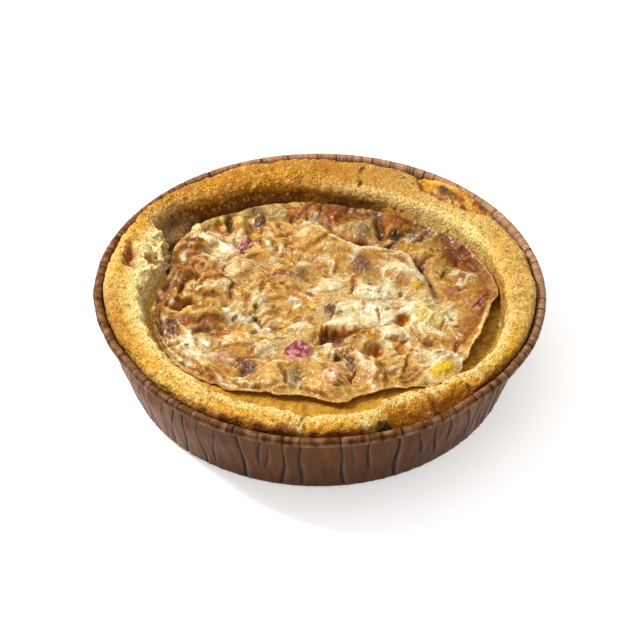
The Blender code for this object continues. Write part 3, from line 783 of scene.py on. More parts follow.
inner_lean = 1.3 + 8.0 * scooped + 1.6 * np.exp(-(((crust_angles - 115.0) / 16.0) ** 2))
for share in np.linspace(0, 1, INNER_ROWS + 1)[1:]:
    rows.append((inside - inner_lean * eased(2.0 * share), CRUST_WAIST - 13 * share))
last_shown = len(rows)
inner_foot = inside - inner_lean - 1.7
rows.append((inner_foot, crust_foot + CRUST_FLOOR + 5))
rows.append((inner_foot - 4, crust_foot + CRUST_FLOOR))
rows.append((0.4, crust_foot + CRUST_FLOOR))
grid = swept(rows, crust_angles)
print("crust rows:", len(rows), "of", CRUST_STEPS)

# %% Find which way the crust faces
along_ring = np.roll(grid, -1, axis=1) - np.roll(grid, 1, axis=1)
across = np.gradient(grid, axis=0)
normals = np.cross(along_ring, across)
normals /= np.maximum(np.linalg.norm(normals, axis=-1, keepdims=True), 1e-9)
print("directions found for", normals.shape[0] * normals.shape[1], "points")

# %% [markdown]
# The grit is a layer of cornmeal grains about a millimetre across: cells give each grain its own little
# dome. Crags a few millimetres wide break the roll's smooth line, and pits show where fat bubbled out.

# %% Roughen and break the crust
shown = slice(first_shown, last_shown)
points = grid[shown].reshape(-1, 3)
push = normals[shown].reshape(-1, 3)
crust_degrees = np.tile(crust_angles, last_shown - first_shown)
flat_radius = np.hypot(points[:, 0], points[:, 1])
row_share = np.repeat(np.arange(last_shown - first_shown), CRUST_STEPS) / (last_shown - first_shown)

lumps = noise(points, 13.0, 20)
crags = noise(points, 4.2, 21)
small_crags = noise(points, 1.9, 22)
grit_distance, grit_number = cells(points, 1.5, 23)
fine_distance, _ = cells(points, 1.0, 24)
pits = eased((noise(points, 3.0, 25) - 0.52) / 0.2)
smooth_parts = spot(crust_degrees, flat_radius, (42, 72, 26, 8, 0))
gritty = 1 - 0.75 * smooth_parts
clump_distance, _ = cells(points, 3.6, 28)
relief = 0.7 * lumps + (0.45 * crags + 0.3 * small_crags + 0.5 * (0.5 - clump_distance)) * gritty
relief += (0.36 * (0.55 - grit_distance) + 0.2 * (0.55 - fine_distance)) * gritty
relief -= 0.4 * pits * gritty
top_share = eased((points[:, 2] - 27.0) / 6.0)
relief *= top_share
print("crags and grains reach", relief.max().round(2), "mm")

# %% [markdown]
# At the back left the inner lip has torn away and slumped onto the filling. A slot opens behind it,
# darkened inside as painted shade, the torn face is pale crumb laid on brighter as painted light, and
# crumbs lie where it broke. Cracks elsewhere are narrow grooves whose floors are darkened as painted shade.

# %% Places of the cracks, clumps and flakes
# Cracks over the roll: angle and radius of each point, half width and depth in mm
RIM_CRACKS = (
    (((352.6, 76), (353.4, 79), (355, 83.5)), 0.5, 0.9),
    (((265.6, 73), (266.2, 78), (265.2, 83)), 0.6, 1),
    (((287.8, 73), (288.4, 76.5), (287.6, 79)), 0.6, 1),
    (((300.2, 73), (300.9, 78), (301.8, 83)), 0.6, 1),
    (((313.5, 76), (314.2, 80), (313.4, 84)), 0.6, 1),
    (((12, 78), (17, 79), (22, 78.5)), 0.3, 0.5),
    (((72, 74), (80, 73.6), (88, 74.2)), 0.4, 0.5),
    (((196, 80), (201, 79), (206, 79.6)), 0.3, 0.4),
)
# Herbs baked into the rim: degrees, radius, half length along the rim and half width in mm, turn
HERB_CLUMPS = (
    (286.8, 84.4, 3.2, 1.6, 8),
    (62, 77, 0.9, 0.8, 0),
    (76, 77, 1.2, 1.4, 0),
    (75, 67.5, 1, 1.6, 0),
)
# Pale flakes on the front flank: degrees, radius, half width in degrees, half length in mm, turn
PALE_FLAKES = (
    (282.2, 81.5, 1.1, 3.4, 0),
    (265.2, 82.5, 0.8, 2.6, 0),
    (303.5, 78, 1, 3, 0),
    (318.5, 79.5, 1.2, 3.4, 0),
)
SLOT = (167.5, 77.4, 7.5, 1.9, -18.0)  # degrees, radius, half length along the rim and half width in mm, lean
SLOT_DEPTH = 4.0
TORN_LIP = (-8.0, 71.0, 16.0, 7.5, 4.0)  # mm along the rim from the slot, radius, half sizes, lean
UNROLLED_RADIUS = 79.0  # the rim's length is measured here, in mm


def unrolled(degrees, at_degrees):
    """How far along the rim each angle lies from one of them, in mm."""
    return ((degrees - at_degrees + 180) % 360 - 180) * math.radians(1) * UNROLLED_RADIUS


print("cracks, clumps and flakes:", len(RIM_CRACKS) + len(HERB_CLUMPS) + len(PALE_FLAKES))

# %% Crack the crust and lay in the herbs
crack_mark = np.zeros(len(points))
for line, half_width, depth in RIM_CRACKS:
    along = unrolled(crust_degrees, line[0][0])
    laid = [(unrolled(at, line[0][0]), radius) for at, radius in line]
    mark = stroke(along + 0.3 * crags, flat_radius + 0.3 * small_crags, laid, half_width)
    mark = mark * (np.abs(along) < 30) * top_share
    crack_mark = np.maximum(crack_mark, mark)
    relief -= depth * mark

herb_mark = np.zeros(len(points))
for at, *clump in HERB_CLUMPS:
    along = unrolled(crust_degrees, at)
    clump_mark = spot(along + small_crags, flat_radius + small_crags, (0.0, *clump))
    herb_mark = np.maximum(herb_mark, clump_mark * (np.abs(along) < 30) * top_share)
relief += 0.5 * herb_mark * (1 + 2 * small_crags)
print("cracked points:", int((crack_mark > 0.3).sum()))

# %% Tear the lip at the back left
along = unrolled(crust_degrees, SLOT[0])
slot = spot(along + 3.0 * crags, flat_radius + 2.4 * small_crags + 2.0 * crags, (0.0, *SLOT[1:]))
slot_mark = eased(slot * 2.2) * (points[:, 2] > 35)
torn = spot(along, flat_radius, TORN_LIP) * (points[:, 2] > CRUST_WAIST - 7)
torn_crumb = noise(points, 2.6, 31)
torn_holes = torn * eased((noise(points, 3.6, 35) - 0.2) / 0.18)
relief += torn * (2.6 * torn_crumb + 1.4 * noise(points, 5.0, 32) + 1.4 * noise(points, 1.2, 34))
relief -= 1.6 * torn_holes
moved = points + push * relief[:, None]
moved[:, 2] -= slot_mark * SLOT_DEPTH
moved[:, 2] = np.minimum(moved[:, 2], CREST_TOP + 0.4 * (moved[:, 2] - CREST_TOP))  # presses tall crags down
moved_radius = np.hypot(moved[:, 0], moved[:, 1])
limit = np.minimum(1.0, case_clearance(moved[:, 2], crust_degrees) / np.maximum(moved_radius, 1e-6))
outer_part = (row_share < 0.5).astype(float)
moved[:, :2] *= (1 - outer_part * (1 - limit))[:, None]
grid[shown] = moved.reshape(-1, CRUST_STEPS, 3)
print("the crust's highest crag is at", grid[..., 2].max().round(2), "mm")

# %% [markdown]
# Colour follows the heat. The crumb is pale where grains stand up, and golden between them as painted
# shade. Well baked parts are caramel to dark brown: the inside at the back left and the flank over the
# case at the front, and that flank is darker still towards the case as painted shade. Pits and cracks
# are darkened as painted shade, a painted shadow lies under the lip at the back, and some inner faces
# are painted paler as painted light. Each layer below is a stain and how much of it lies on every point.

# %% Colours of the crust
CORNMEAL = (226, 187, 90)
RIGHT_CRUMB = (204, 166, 92)
PALE_CRUMB = (246, 222, 146)
# pale torn crumb, laid on brighter than it is as painted light where torn faces turn from the lamp
TORN_CRUMB_LIT = (255, 238, 174)
GOLDEN_GRIT = (226, 168, 42)
GOLDEN_GRAIN = (240, 182, 70)
# the block's flank: golden, partly its own colour and partly painted shade
GOLDEN_FLANK_SHADE = (206, 146, 30)
BACK_GOLD = (186, 126, 32)
# painted shade: the gold between grains and clumps and in holes
GAP_SHADE_GOLD = (192, 124, 22)
# the slot's inside, darkened partly as painted shade
SLOT_CRUMB_SHADE = (164, 86, 22)
# caramel, and painted shade in pits, cracks and on the flank towards the case
CARAMEL_AND_SHADE = (168, 92, 8)
BAKED = (156, 98, 26)
# well baked brown, and painted shade towards the case and the bead
WELL_BAKED_AND_SHADE = (110, 58, 12)
# painted shade: under the lip at the back and deep down the inner wall
CRUST_SHADE = (58, 28, 10)
HERB = (66, 62, 34)
HERB_DARK = (46, 36, 18)
BROWN_SPECK = (150, 96, 52)

# %% Colour the crust's crumb and grains, with painted shade between them
rows_shown = last_shown - first_shown
rim_inside, rim_outside = np.tile(inside, rows_shown), np.tile(outside, rows_shown)
across = (flat_radius - rim_inside) / (rim_outside - rim_inside) + 0.12 * crags + 0.05 * small_crags
front_left = facing(crust_degrees, 248, 1.8, 0.9)
back_left = facing(crust_degrees, 102, 2.2, -0.9)
left_lip = spot(crust_degrees, flat_radius, (190, 71.5, 26, 4.5, 0))
crust_colours = layered(
    np.tile(linear(CORNMEAL), (len(points), 1)),
    # golden, more so in the crags' hollows as painted shade
    (GOLDEN_GRIT, 0.3 - 0.5 * crags - 0.3 * small_crags),
    (GOLDEN_GRIT, 0.6 * front_left * eased((across - 0.4) / 0.3)),
    (PALE_CRUMB, 0.45 * eased(lumps + 0.3) + 0.45 * smooth_parts),
    (PALE_CRUMB, 0.7 * eased((0.5 - grit_distance) / 0.3) * (grit_number > 0.45)),
    # golden between grains and clumps: painted shade
    (GAP_SHADE_GOLD, 0.28 * eased((grit_distance - 0.45) / 0.3) * gritty),
    (GAP_SHADE_GOLD, 0.4 * eased((clump_distance - 0.5) / 0.25) * gritty),
    (PALE_CRUMB, 0.6 * front_left * eased((0.5 - across) / 0.2)),
    (BACK_GOLD, back_left * (0.88 + 0.4 * crags)),
    (PALE_CRUMB, 0.7 * left_lip),
)
print("pale grains:", int((grit_number > 0.45).sum()), "points")

# %% Brown the crust's inside, with its painted shade and light
inner_bake = facing(crust_degrees, 124, 4.4, -3.2 + 0.6 * noise(points, 9.0, 33))
below_crest = np.tile(crest, rows_shown) - moved[:, 2] + 0.5 * crags
depth_in = np.clip((CRUST_WAIST + 2.5 - moved[:, 2]) / 7.0, 0, 1)
inner_side = eased((row_share - 0.5) / 0.05)
inner_flank = inner_side * eased((below_crest - 3.0 - 1.0 * inner_bake) / 2.5)
right_side = facing(crust_degrees, 2, 3.0, -2.0)
right_top = facing(crust_degrees, 28, 2.2, -1.0)
# painted light: the inner slope at the back right is kept pale and less brown where it faces the lamp
lit_side = facing(crust_degrees, 48, 2.5, -1.6)
# painted light: pale crumb laid brighter on the left inner face, which turns from the lamp
lit_left_face = inner_side * facing(crust_degrees, 182, 2.5, -1.5)
inner_brown = 0.25 - 0.4 * lit_side + 0.45 * right_side + 0.7 * inner_bake + 0.3 * crags
well_baked = inner_side * inner_bake * eased((below_crest - 3.0) / 4.5)
# a painted shadow under the lip at the back
cavity_shadow = inner_side * eased(1.6 - np.abs(crust_degrees - 77) / 10) * eased((below_crest - 4.5) / 2.0)
golden_grains = (grit_number > 0.5) * eased((0.5 - grit_distance) / 0.2) * eased((11 - below_crest) / 6)
crust_colours = layered(
    crust_colours,
    (BAKED, inner_flank * inner_brown),
    (TORN_CRUMB_LIT, lit_left_face * (0.7 + 0.3 * crags)),
    (RIGHT_CRUMB, 0.4 * right_top * (1 - inner_side)),
    (WELL_BAKED_AND_SHADE, well_baked * (0.6 + 0.5 * crags)),
    (PALE_CRUMB, 0.6 * inner_side * lit_side * eased((7 - below_crest) / 3)),
    # a painted shadow under the lip at the back, and painted shade deeper down the inner wall
    (CRUST_SHADE, cavity_shadow * (0.75 + 0.4 * crags)),
    (CRUST_SHADE, inner_flank * inner_bake * depth_in * 0.25),
    (GOLDEN_GRAIN, 0.8 * golden_grains * inner_bake),
)
print("well baked points inside:", int((well_baked > 0.5).sum()))

# %% Brown the crust's outside, with painted shade towards the case
front_right = facing(crust_degrees, 292, 1.6, -0.2)
outer_flank = eased((0.24 + 0.12 * front_right - row_share + 0.07 * crags) / 0.1)
outer_bake = 0.1 + 0.9 * facing(crust_degrees, 275, 2.6, -1.2)
# the flank by the bead in front: well baked, and darker still as painted shade
front_band = facing(crust_degrees, 280, 2.4, -1.2) * eased((across - 0.85) / 0.13)
block = np.tile(front_block, rows_shown)
# the tall block's flank: golden and caramel, partly its own colour, partly painted shade
block_flank = block * eased((across - 0.42) / 0.15)
left_outer = spot(crust_degrees, flat_radius, (197, 83.5, 18, 4.5, 0))
amber_band = spot(crust_degrees, flat_radius, (304, 82.0, 14, 2.6, 0))
crust_colours = layered(
    crust_colours,
    # the flank's caramel and its darker lower part: baked colour, and painted shade towards the case
    (CARAMEL_AND_SHADE, outer_flank * outer_bake * (0.7 + 0.3 * crags)),
    (WELL_BAKED_AND_SHADE, outer_flank * outer_bake * depth_in * 0.9),
    (WELL_BAKED_AND_SHADE, front_band * (0.85 + 0.5 * crags)),
    (GOLDEN_FLANK_SHADE, block_flank * (0.85 + 0.3 * crags)),
    (CARAMEL_AND_SHADE, block_flank * eased((across - 0.66) / 0.2) * (0.6 + 0.4 * crags)),
    (BAKED, left_outer * (0.55 + 0.4 * crags)),
    # caramel in the pits and cracks is painted shade; the amber band is the crust's own colour
    (CARAMEL_AND_SHADE, 0.6 * amber_band + 0.55 * pits + 0.75 * crack_mark),
)
print("browned points outside:", int((outer_flank * outer_bake > 0.5).sum()))

# %% Colour the torn lip, the herbs and the specks
for flake in PALE_FLAKES:
    flake_mark = spot(crust_degrees + 0.6 * crags, flat_radius, flake)
    crust_colours = stained(crust_colours, PALE_CRUMB, 0.8 * flake_mark)
specks, speck_number = cells(points, 3.4, 40)
crust_colours = layered(
    crust_colours,
    # the torn lip: pale crumb laid on brighter as painted light
    (TORN_CRUMB_LIT, torn * 0.85),
    # gold in its hollows and holes, and the slot's dark inside: painted shade
    (GAP_SHADE_GOLD, torn * eased((-torn_crumb - 0.1) / 0.3) * 0.6),
    (GAP_SHADE_GOLD, 0.85 * torn_holes),
    (SLOT_CRUMB_SHADE, slot_mark * 0.9),
    (HERB_DARK, 0.9 * eased(herb_mark * 1.6)),
    (HERB, (specks < 0.13) * (speck_number > 0.55) * 0.8),
    (BROWN_SPECK, (specks < 0.2) * (speck_number < 0.35) * 0.6),
)
print("torn points:", int((torn > 0.3).sum()))
all_colours = np.zeros(grid.shape) + linear(BAKED)
all_colours[shown] = crust_colours.reshape(-1, CRUST_STEPS, 3)

# %% [markdown]
# The pastry's finish is dry, with hardly any gloss. Its finest grains are smaller than the mesh can hold,
# so cells in the shader tint each one a little, darken the gaps between them as painted shade, and lift
# each with a bump.

# %% Finish the crust
GRAIN_SIZE = 0.0008  # metres
pastry, pastry_shader, tree = shader_material("cornmeal_pastry", 0.5, 0.15)
where = object_points(tree)
grains = node(tree, "ShaderNodeTexVoronoi", Vector=where, Scale=1 / GRAIN_SIZE)
grain_tint = node(tree, "ShaderNodeSeparateColor", Color=grains.outputs["Color"]).outputs[0]
fine = grain(tree, where, 0.00045, 3, 0.6)
# darker between the grains: painted shade
gap_shade = mixed(tree, ramp(tree, grains.outputs["Distance"], 0.3, 0.75), (1.06, 1.07, 1.1), (0.9, 0.84, 0.72))
dark_grains = mixed(tree, ramp(tree, grain_tint, 0.14, 0.06), (1.0, 1.0, 1.0), (0.66, 0.54, 0.4))
light_grains = mixed(tree, ramp(tree, grain_tint, 0.62, 0.85), dark_grains, (1.24, 1.3, 1.5))
shade = mixed(tree, ramp(tree, fine, 0.3, 0.7), (0.84, 0.8, 0.74), (1.12, 1.12, 1.12))
tint(tree, pastry_shader, light_grains, gap_shade, shade)
domes = node(tree, "ShaderNodeMath", {"operation": "SUBTRACT"}, i0=fine, i1=grains.outputs["Distance"])
emboss(tree, pastry_shader, domes.outputs[0], 0.9, 0.0006)
soften(pastry_shader, 0.08, (0.0015, 0.0009, 0.0004))
print("grains in the finish are", GRAIN_SIZE * 1000, "mm")

# %% Place the crust
crust_faces = closed_faces(len(rows), CRUST_STEPS)
crust_paint = all_colours.reshape(-1, 3)
crust_piece = mesh_object("cornmeal_crust", grid.reshape(-1, 3), crust_faces, crust_paint, pastry)
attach(crust_piece, "root")
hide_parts("crust")

# %% [markdown]
# ## The filling's skin
# Egg custard with cheese and mushrooms rises in the oven, browns, then sinks as it cools. Its skin
# wrinkles, tears from the crust and shows what lies under it. No two are alike, so the large forms of this
# one are listed: swellings, hollows, folds and browned or creamy marks, each an oval or a line in
# millimetres.

# %% Sizes of the filling
FILLING_LEVEL = 29.2  # mm above the table
# Degrees, radius of the skin's torn edge, and how far the custard beyond it lies lower, in mm
SKIN_STATIONS = (
    (3, 72.4, 3), (14, 71.4, 2), (25, 69.6, 2), (36, 67, 2), (44, 65, 2.5), (60, 63, 3.5),
    (75, 63.2, 5), (93, 64.8, 4), (108, 65.8, 5), (120, 67.4, 8), (134, 70, 8), (148, 68.6, 6),
    (158, 65, 4), (166, 62.4, 1.8), (176, 65.2, 0.8), (188, 67.4, 0.9), (200, 67.6, 0.9), (216, 67, 1),
    (234, 63.6, 1.2), (252, 57.6, 2), (266, 56.8, 2.2), (278, 61, 2.2), (288, 58.4, 2.2),
    (297, 58.8, 2.4), (304, 62.6, 1), (312, 68, 0.6), (320, 70.6, 0.8), (327, 68, 2), (335, 67, 3.5),
    (345, 67.6, 3.5), (355, 69.2, 3),
)
print("the skin's edge is set at", len(SKIN_STATIONS), "angles")

# %% Swellings, hollows and a ledge
# A line along which the front of the skin has ridden up over the back; it is lifted on the line's right
SKIN_LEDGE = ((-8, 52), (-2, 47), (4, 41), (10, 36), (17, 31), (33, 30), (38, 25), (40, 19), (44, 9))
LEDGE_HEIGHT, LEDGE_REACH = 3.2, 16.0
# x, y, half length, half width (mm), turn (degrees), height (mm)
SWELLINGS = (
    (-57, 17, 7, 6, 0, 2.4), (-43, 9, 9, 5.5, 20, 1.8), (-46, -9, 9, 5.5, -20, 2),
    (-50, 35, 6.5, 4, -15, 2), (-33, 46, 3.6, 8, 10, 2.2), (-20, 38, 5, 10, 15, 1.2),
    (-32, 22, 5, 8, 0, 1.4), (32, 47, 5.5, 7, 10, 2.8), (17, 46, 7, 6, 0, 1.6),
    (34, 14, 9, 4.5, -30, 1.6), (-15, -45, 6, 8, -20, 2.4), (20, -43, 4.5, 8.5, 15, 2.2),
    (4, -50, 7, 6, 0, 1.6), (-41, -37, 9, 6, -35, 1.2), (-21, -24, 8, 6, 0, 1.2), (42, -11, 8, 7, 0, 1),
    (49, -40, 7, 4, 40, 1.2), (-53, -1, 4.5, 2.6, 10, -3), (5, -22, 7, 4, 20, -3),
    (22, -29, 5, 3.2, 40, -2.4), (33.5, -12, 3, 3.4, 0, -1.6), (26, 46, 2.6, 8, 5, -2),
    (19, 35, 8, 2.6, -12, -1.6), (42, 19, 2.4, 9, 15, -1.4), (59, 23, 6, 8, 20, -1.2),
)
print("swellings and hollows:", len(SWELLINGS))

# %% Colours of baked custard
STAINS = {
    "cheese": (246, 238, 212),
    "cream": (224, 204, 160),
    "gold": (212, 168, 92),
    "honey": (208, 162, 84),
    "tan": (174, 124, 48),
    "toast": (146, 88, 26),
    "rust": (152, 90, 32),
    "brown": (112, 64, 22),
    # painted shade, laid in crevices and hollows
    "dark": (52, 32, 16),
    "amber": (206, 142, 36),
    "ember": (172, 112, 34),
    "yellow": (226, 186, 16),
    "olive": (172, 146, 80),
    "moss": (112, 86, 36),
    "crumb": (234, 212, 138),
    "mauve": (122, 90, 72),
    "plum": (116, 62, 50),
    "pink": (222, 176, 146),
    "rosy": (172, 118, 84),
    "glint": (216, 206, 188),
    "herb": (60, 52, 38),
    "herbs": (140, 126, 92),
}
print("stains for the custard:", ", ".join(STAINS))

# %% Wide parts of the skin
# x, y, half length, half width (mm), turn (degrees), stain, strength
REGIONS = (
    (46, 22, 24, 24, 0, "tan", 0.55), (-20, -42, 24, 10, 0, "honey", 0.5),
    (-50, 43, 7, 5, 40, "cream", 0.8), (-37, 34, 7, 9, 0, "cheese", 0.6),
    (-60, 22, 6, 8, 0, "tan", 0.5), (-43, 15, 9, 7, 0, "honey", 0.7), (-60, 3, 7, 9, 0, "tan", 0.7),
    (-33, 18, 9, 8, -30, "cream", 0.5), (-22, 5, 11, 8, 0, "gold", 0.6),
    (-8, 17, 9, 8, 0, "herbs", 0.35), (5, 9, 7, 8, 0, "cream", 0.5), (17, 20, 5, 8, 0, "brown", 0.7),
    (-13, 42, 13, 9, -30, "honey", 0.9), (0, 57, 12, 8, 0, "toast", 0.9),
    (-26, 57, 10, 5, 20, "olive", 0.7), (14, 52, 8, 8, 0, "brown", 0.5), (25, 50, 4, 9, 0, "moss", 0.6),
    (36, 50, 10, 8, -30, "brown", 0.7), (18, 37, 12, 4, -10, "brown", 0.6),
    (46, 40, 9, 7, -40, "olive", 0.7), (59, 30, 9, 14, 20, "brown", 0.9),
    (35, 17, 10, 8, -30, "cream", 0.8), (58, 10, 9, 12, 0, "tan", 0.7), (26, 5, 12, 7, 0, "cream", 0.8),
    (20, -9, 18, 9, -8, "cheese", 0.75), (43, -6, 10, 9, 0, "cream", 0.8),
    (61, -6, 5, 12, -15, "tan", 0.6), (59, -17, 4, 14, -25, "rust", 0.45),
    (8, -24, 9, 4, 15, "toast", 0.7), (28, -22, 11, 7, -10, "cream", 0.8),
    (3, -6, 5, 8, 0, "olive", 0.4), (-13, -4, 8, 8, 0, "honey", 0.5), (-27, -8, 10, 7, 0, "cream", 0.5),
    (-44, -12, 11, 7, -20, "tan", 0.7), (-59, -15, 5, 9, 5, "mauve", 0.5),
    (-48, -28, 12, 8, -30, "cream", 0.8), (-29, -36, 9, 6, -20, "tan", 0.8),
    (-16, -45, 9, 8, 0, "honey", 0.8), (-14, -25, 10, 9, 0, "cream", 0.5),
    (12, -37, 8, 7, 0, "rosy", 0.4), (10, -48, 10, 6, 0, "gold", 0.8), (28, -43, 9, 7, 0, "honey", 0.6),
    (38, -31, 9, 7, 0, "gold", 0.8), (44, 8, 3, 12, 20, "tan", 0.4),
)
print("wide parts:", len(REGIONS))

# %% [markdown]
# Each mark is an oval: where it is, its half length and half width, how far it is turned, how much it
# rises or sinks, and its stain. They are listed a quarter of the pie at a time.

# %% Marks of the back left quarter
BACK_LEFT = (
    (-50, 46.5, 3.6, 3, 100, 1.6, "crumb"), (-44.5, 51, 3.4, 2.4, 10, 1.2, "olive"),
    (-61, 30, 1.8, 1.8, 0, 1.2, "crumb"), (-53.5, 37, 5, 1.4, -12, 0.8, "toast"),
    (-49, 35.8, 3.2, 1, -20, 0.3, "rust"), (-55.5, 33.5, 2.2, 2, 0, 0.4, "toast"),
    (-49.5, 33, 4, 1.2, -5, 0.9, "tan"), (-49, 30.4, 5, 1.2, 0, 0.2, "rust"),
    (-54.5, 28.5, 2.6, 1.2, 110, 0.3, "glint"), (-48, 26.5, 2.6, 1.6, 10, 0.5, "toast"),
    (-46.6, 22.4, 1.1, 1, 0, -0.6, "brown"), (-47, 41.5, 4, 1.2, 70, 0.4, "cheese"),
    (-43, 39, 3.6, 3, 60, 1, "gold"), (-37.5, 33, 6.5, 2.4, 122, 0.8, "cheese"),
    (-40, 27.5, 5, 3.4, 10, 0.3, "cream"), (-35.5, 27.5, 3, 1.6, 30, 0, "pink"),
    (-56.5, 17.5, 5.6, 5.4, 0, 0.8, "toast"), (-60.5, 18.5, 4.2, 1.1, 80, -0.6, "brown"),
    (-37, 50.5, 5.5, 1.3, 95, -1.8, "dark"), (-35.6, 45.2, 2.4, 0.9, 90, 0.2, "rust"),
    (-31.5, 48.5, 6, 2.6, 98, 1.2, "gold"), (-33, 55, 3, 2.6, 0, 0.5, "olive"),
    (-23.5, 43, 3.2, 1.8, 80, 0.2, "rust"), (-32.5, 30, 3.2, 1.3, -10, 0.6, "pink"),
    (-30, 28.8, 0.8, 0.8, 0, -0.5, "brown"), (-32, 22.8, 5, 1.5, 95, 0.3, "ember"),
    (-13.6, 18.8, 4, 1.4, -15, 0.7, "rust"), (-17, 16.6, 2.2, 0.9, 0, 0.4, "pink"),
    (-11, 16.4, 1.8, 1.1, -20, 0.1, "mauve"), (-7, 14.5, 3.2, 2.4, 0, 0.4, "herbs"),
    (-4.4, 14, 0.7, 0.6, 0, 0, "herb"), (-14.8, 12, 1.2, 0.9, 80, -0.2, "herb"),
    (-6, 20.5, 1.4, 0.7, -10, 0, "herbs"), (-3.6, 4.6, 1.9, 1.7, 30, 0.3, "plum"),
    (-7, 6.6, 1.9, 1.3, -10, 0.5, "ember"), (-3, 8.6, 1.1, 0.8, 30, 0.3, "rust"),
    (-22.4, 8.6, 3, 1.3, 80, -0.4, "brown"), (-18, 9, 2.6, 1.4, 90, 0.3, "toast"),
    (-43, 14.2, 5.5, 2.4, -12, 0.7, "tan"), (-36, 11.2, 5.4, 1.7, -35, 0.4, "toast"),
    (-35, 6.2, 4.2, 1.1, 80, 0.1, "toast"), (-46.5, 12, 2.2, 1.6, 40, -0.3, "brown"),
    (-50.6, 9, 1.1, 1, 0, -0.6, "dark"), (-55, 9, 3.4, 1, 75, -0.7, "brown"),
    (-63, 7.4, 2.6, 2.2, 0, 0.3, "rosy"), (-59, 9.4, 2.8, 1.8, -10, 0.4, "toast"),
    (-47, 4.5, 8, 1.8, -8, 0.5, "toast"), (-42.4, 4, 0.9, 0.8, 0, 0, "herb"),
    (-16, 49, 2.4, 1.2, 110, 0, "mauve"), (-10.4, 42.2, 1.3, 0.7, 0, 0, "mauve"),
    (-13, 41.4, 1, 0.7, 0, 0, "mauve"), (-11.8, 32.6, 2.6, 1, -25, 0.2, "rust"),
    (-19.8, 32.8, 2.4, 1.8, 60, 0.5, "cheese"), (-38, 21.6, 1.5, 0.8, 80, -0.4, "herb"),
    (-24.8, 37, 3.4, 1.8, -20, 0.4, "toast"), (-17.6, 46, 8, 1.2, 112, 0.3, "honey"),
    (-5.6, 56.6, 5, 4, 0, 0, "tan"), (-3.2, 60, 3, 2, 0, 0, "rosy"),
    (-11, 61, 2.6, 0.9, -10, 0, "rust"), (-15, 59.6, 0.9, 0.7, 0, 0, "herb"),
    (-17.4, 57, 4.6, 4, 0, 0.2, "olive"), (-26, 58.6, 4.2, 2.6, 0, 0, "moss"),
    (-11, 52, 2.2, 0.8, 80, -0.3, "moss"), (-1.2, 47.6, 2, 1.4, -10, 0, "ember"),
    (-27, 20, 6.5, 3.4, -38, 0.8, "gold"),
)
print("marks at the back left:", len(BACK_LEFT))

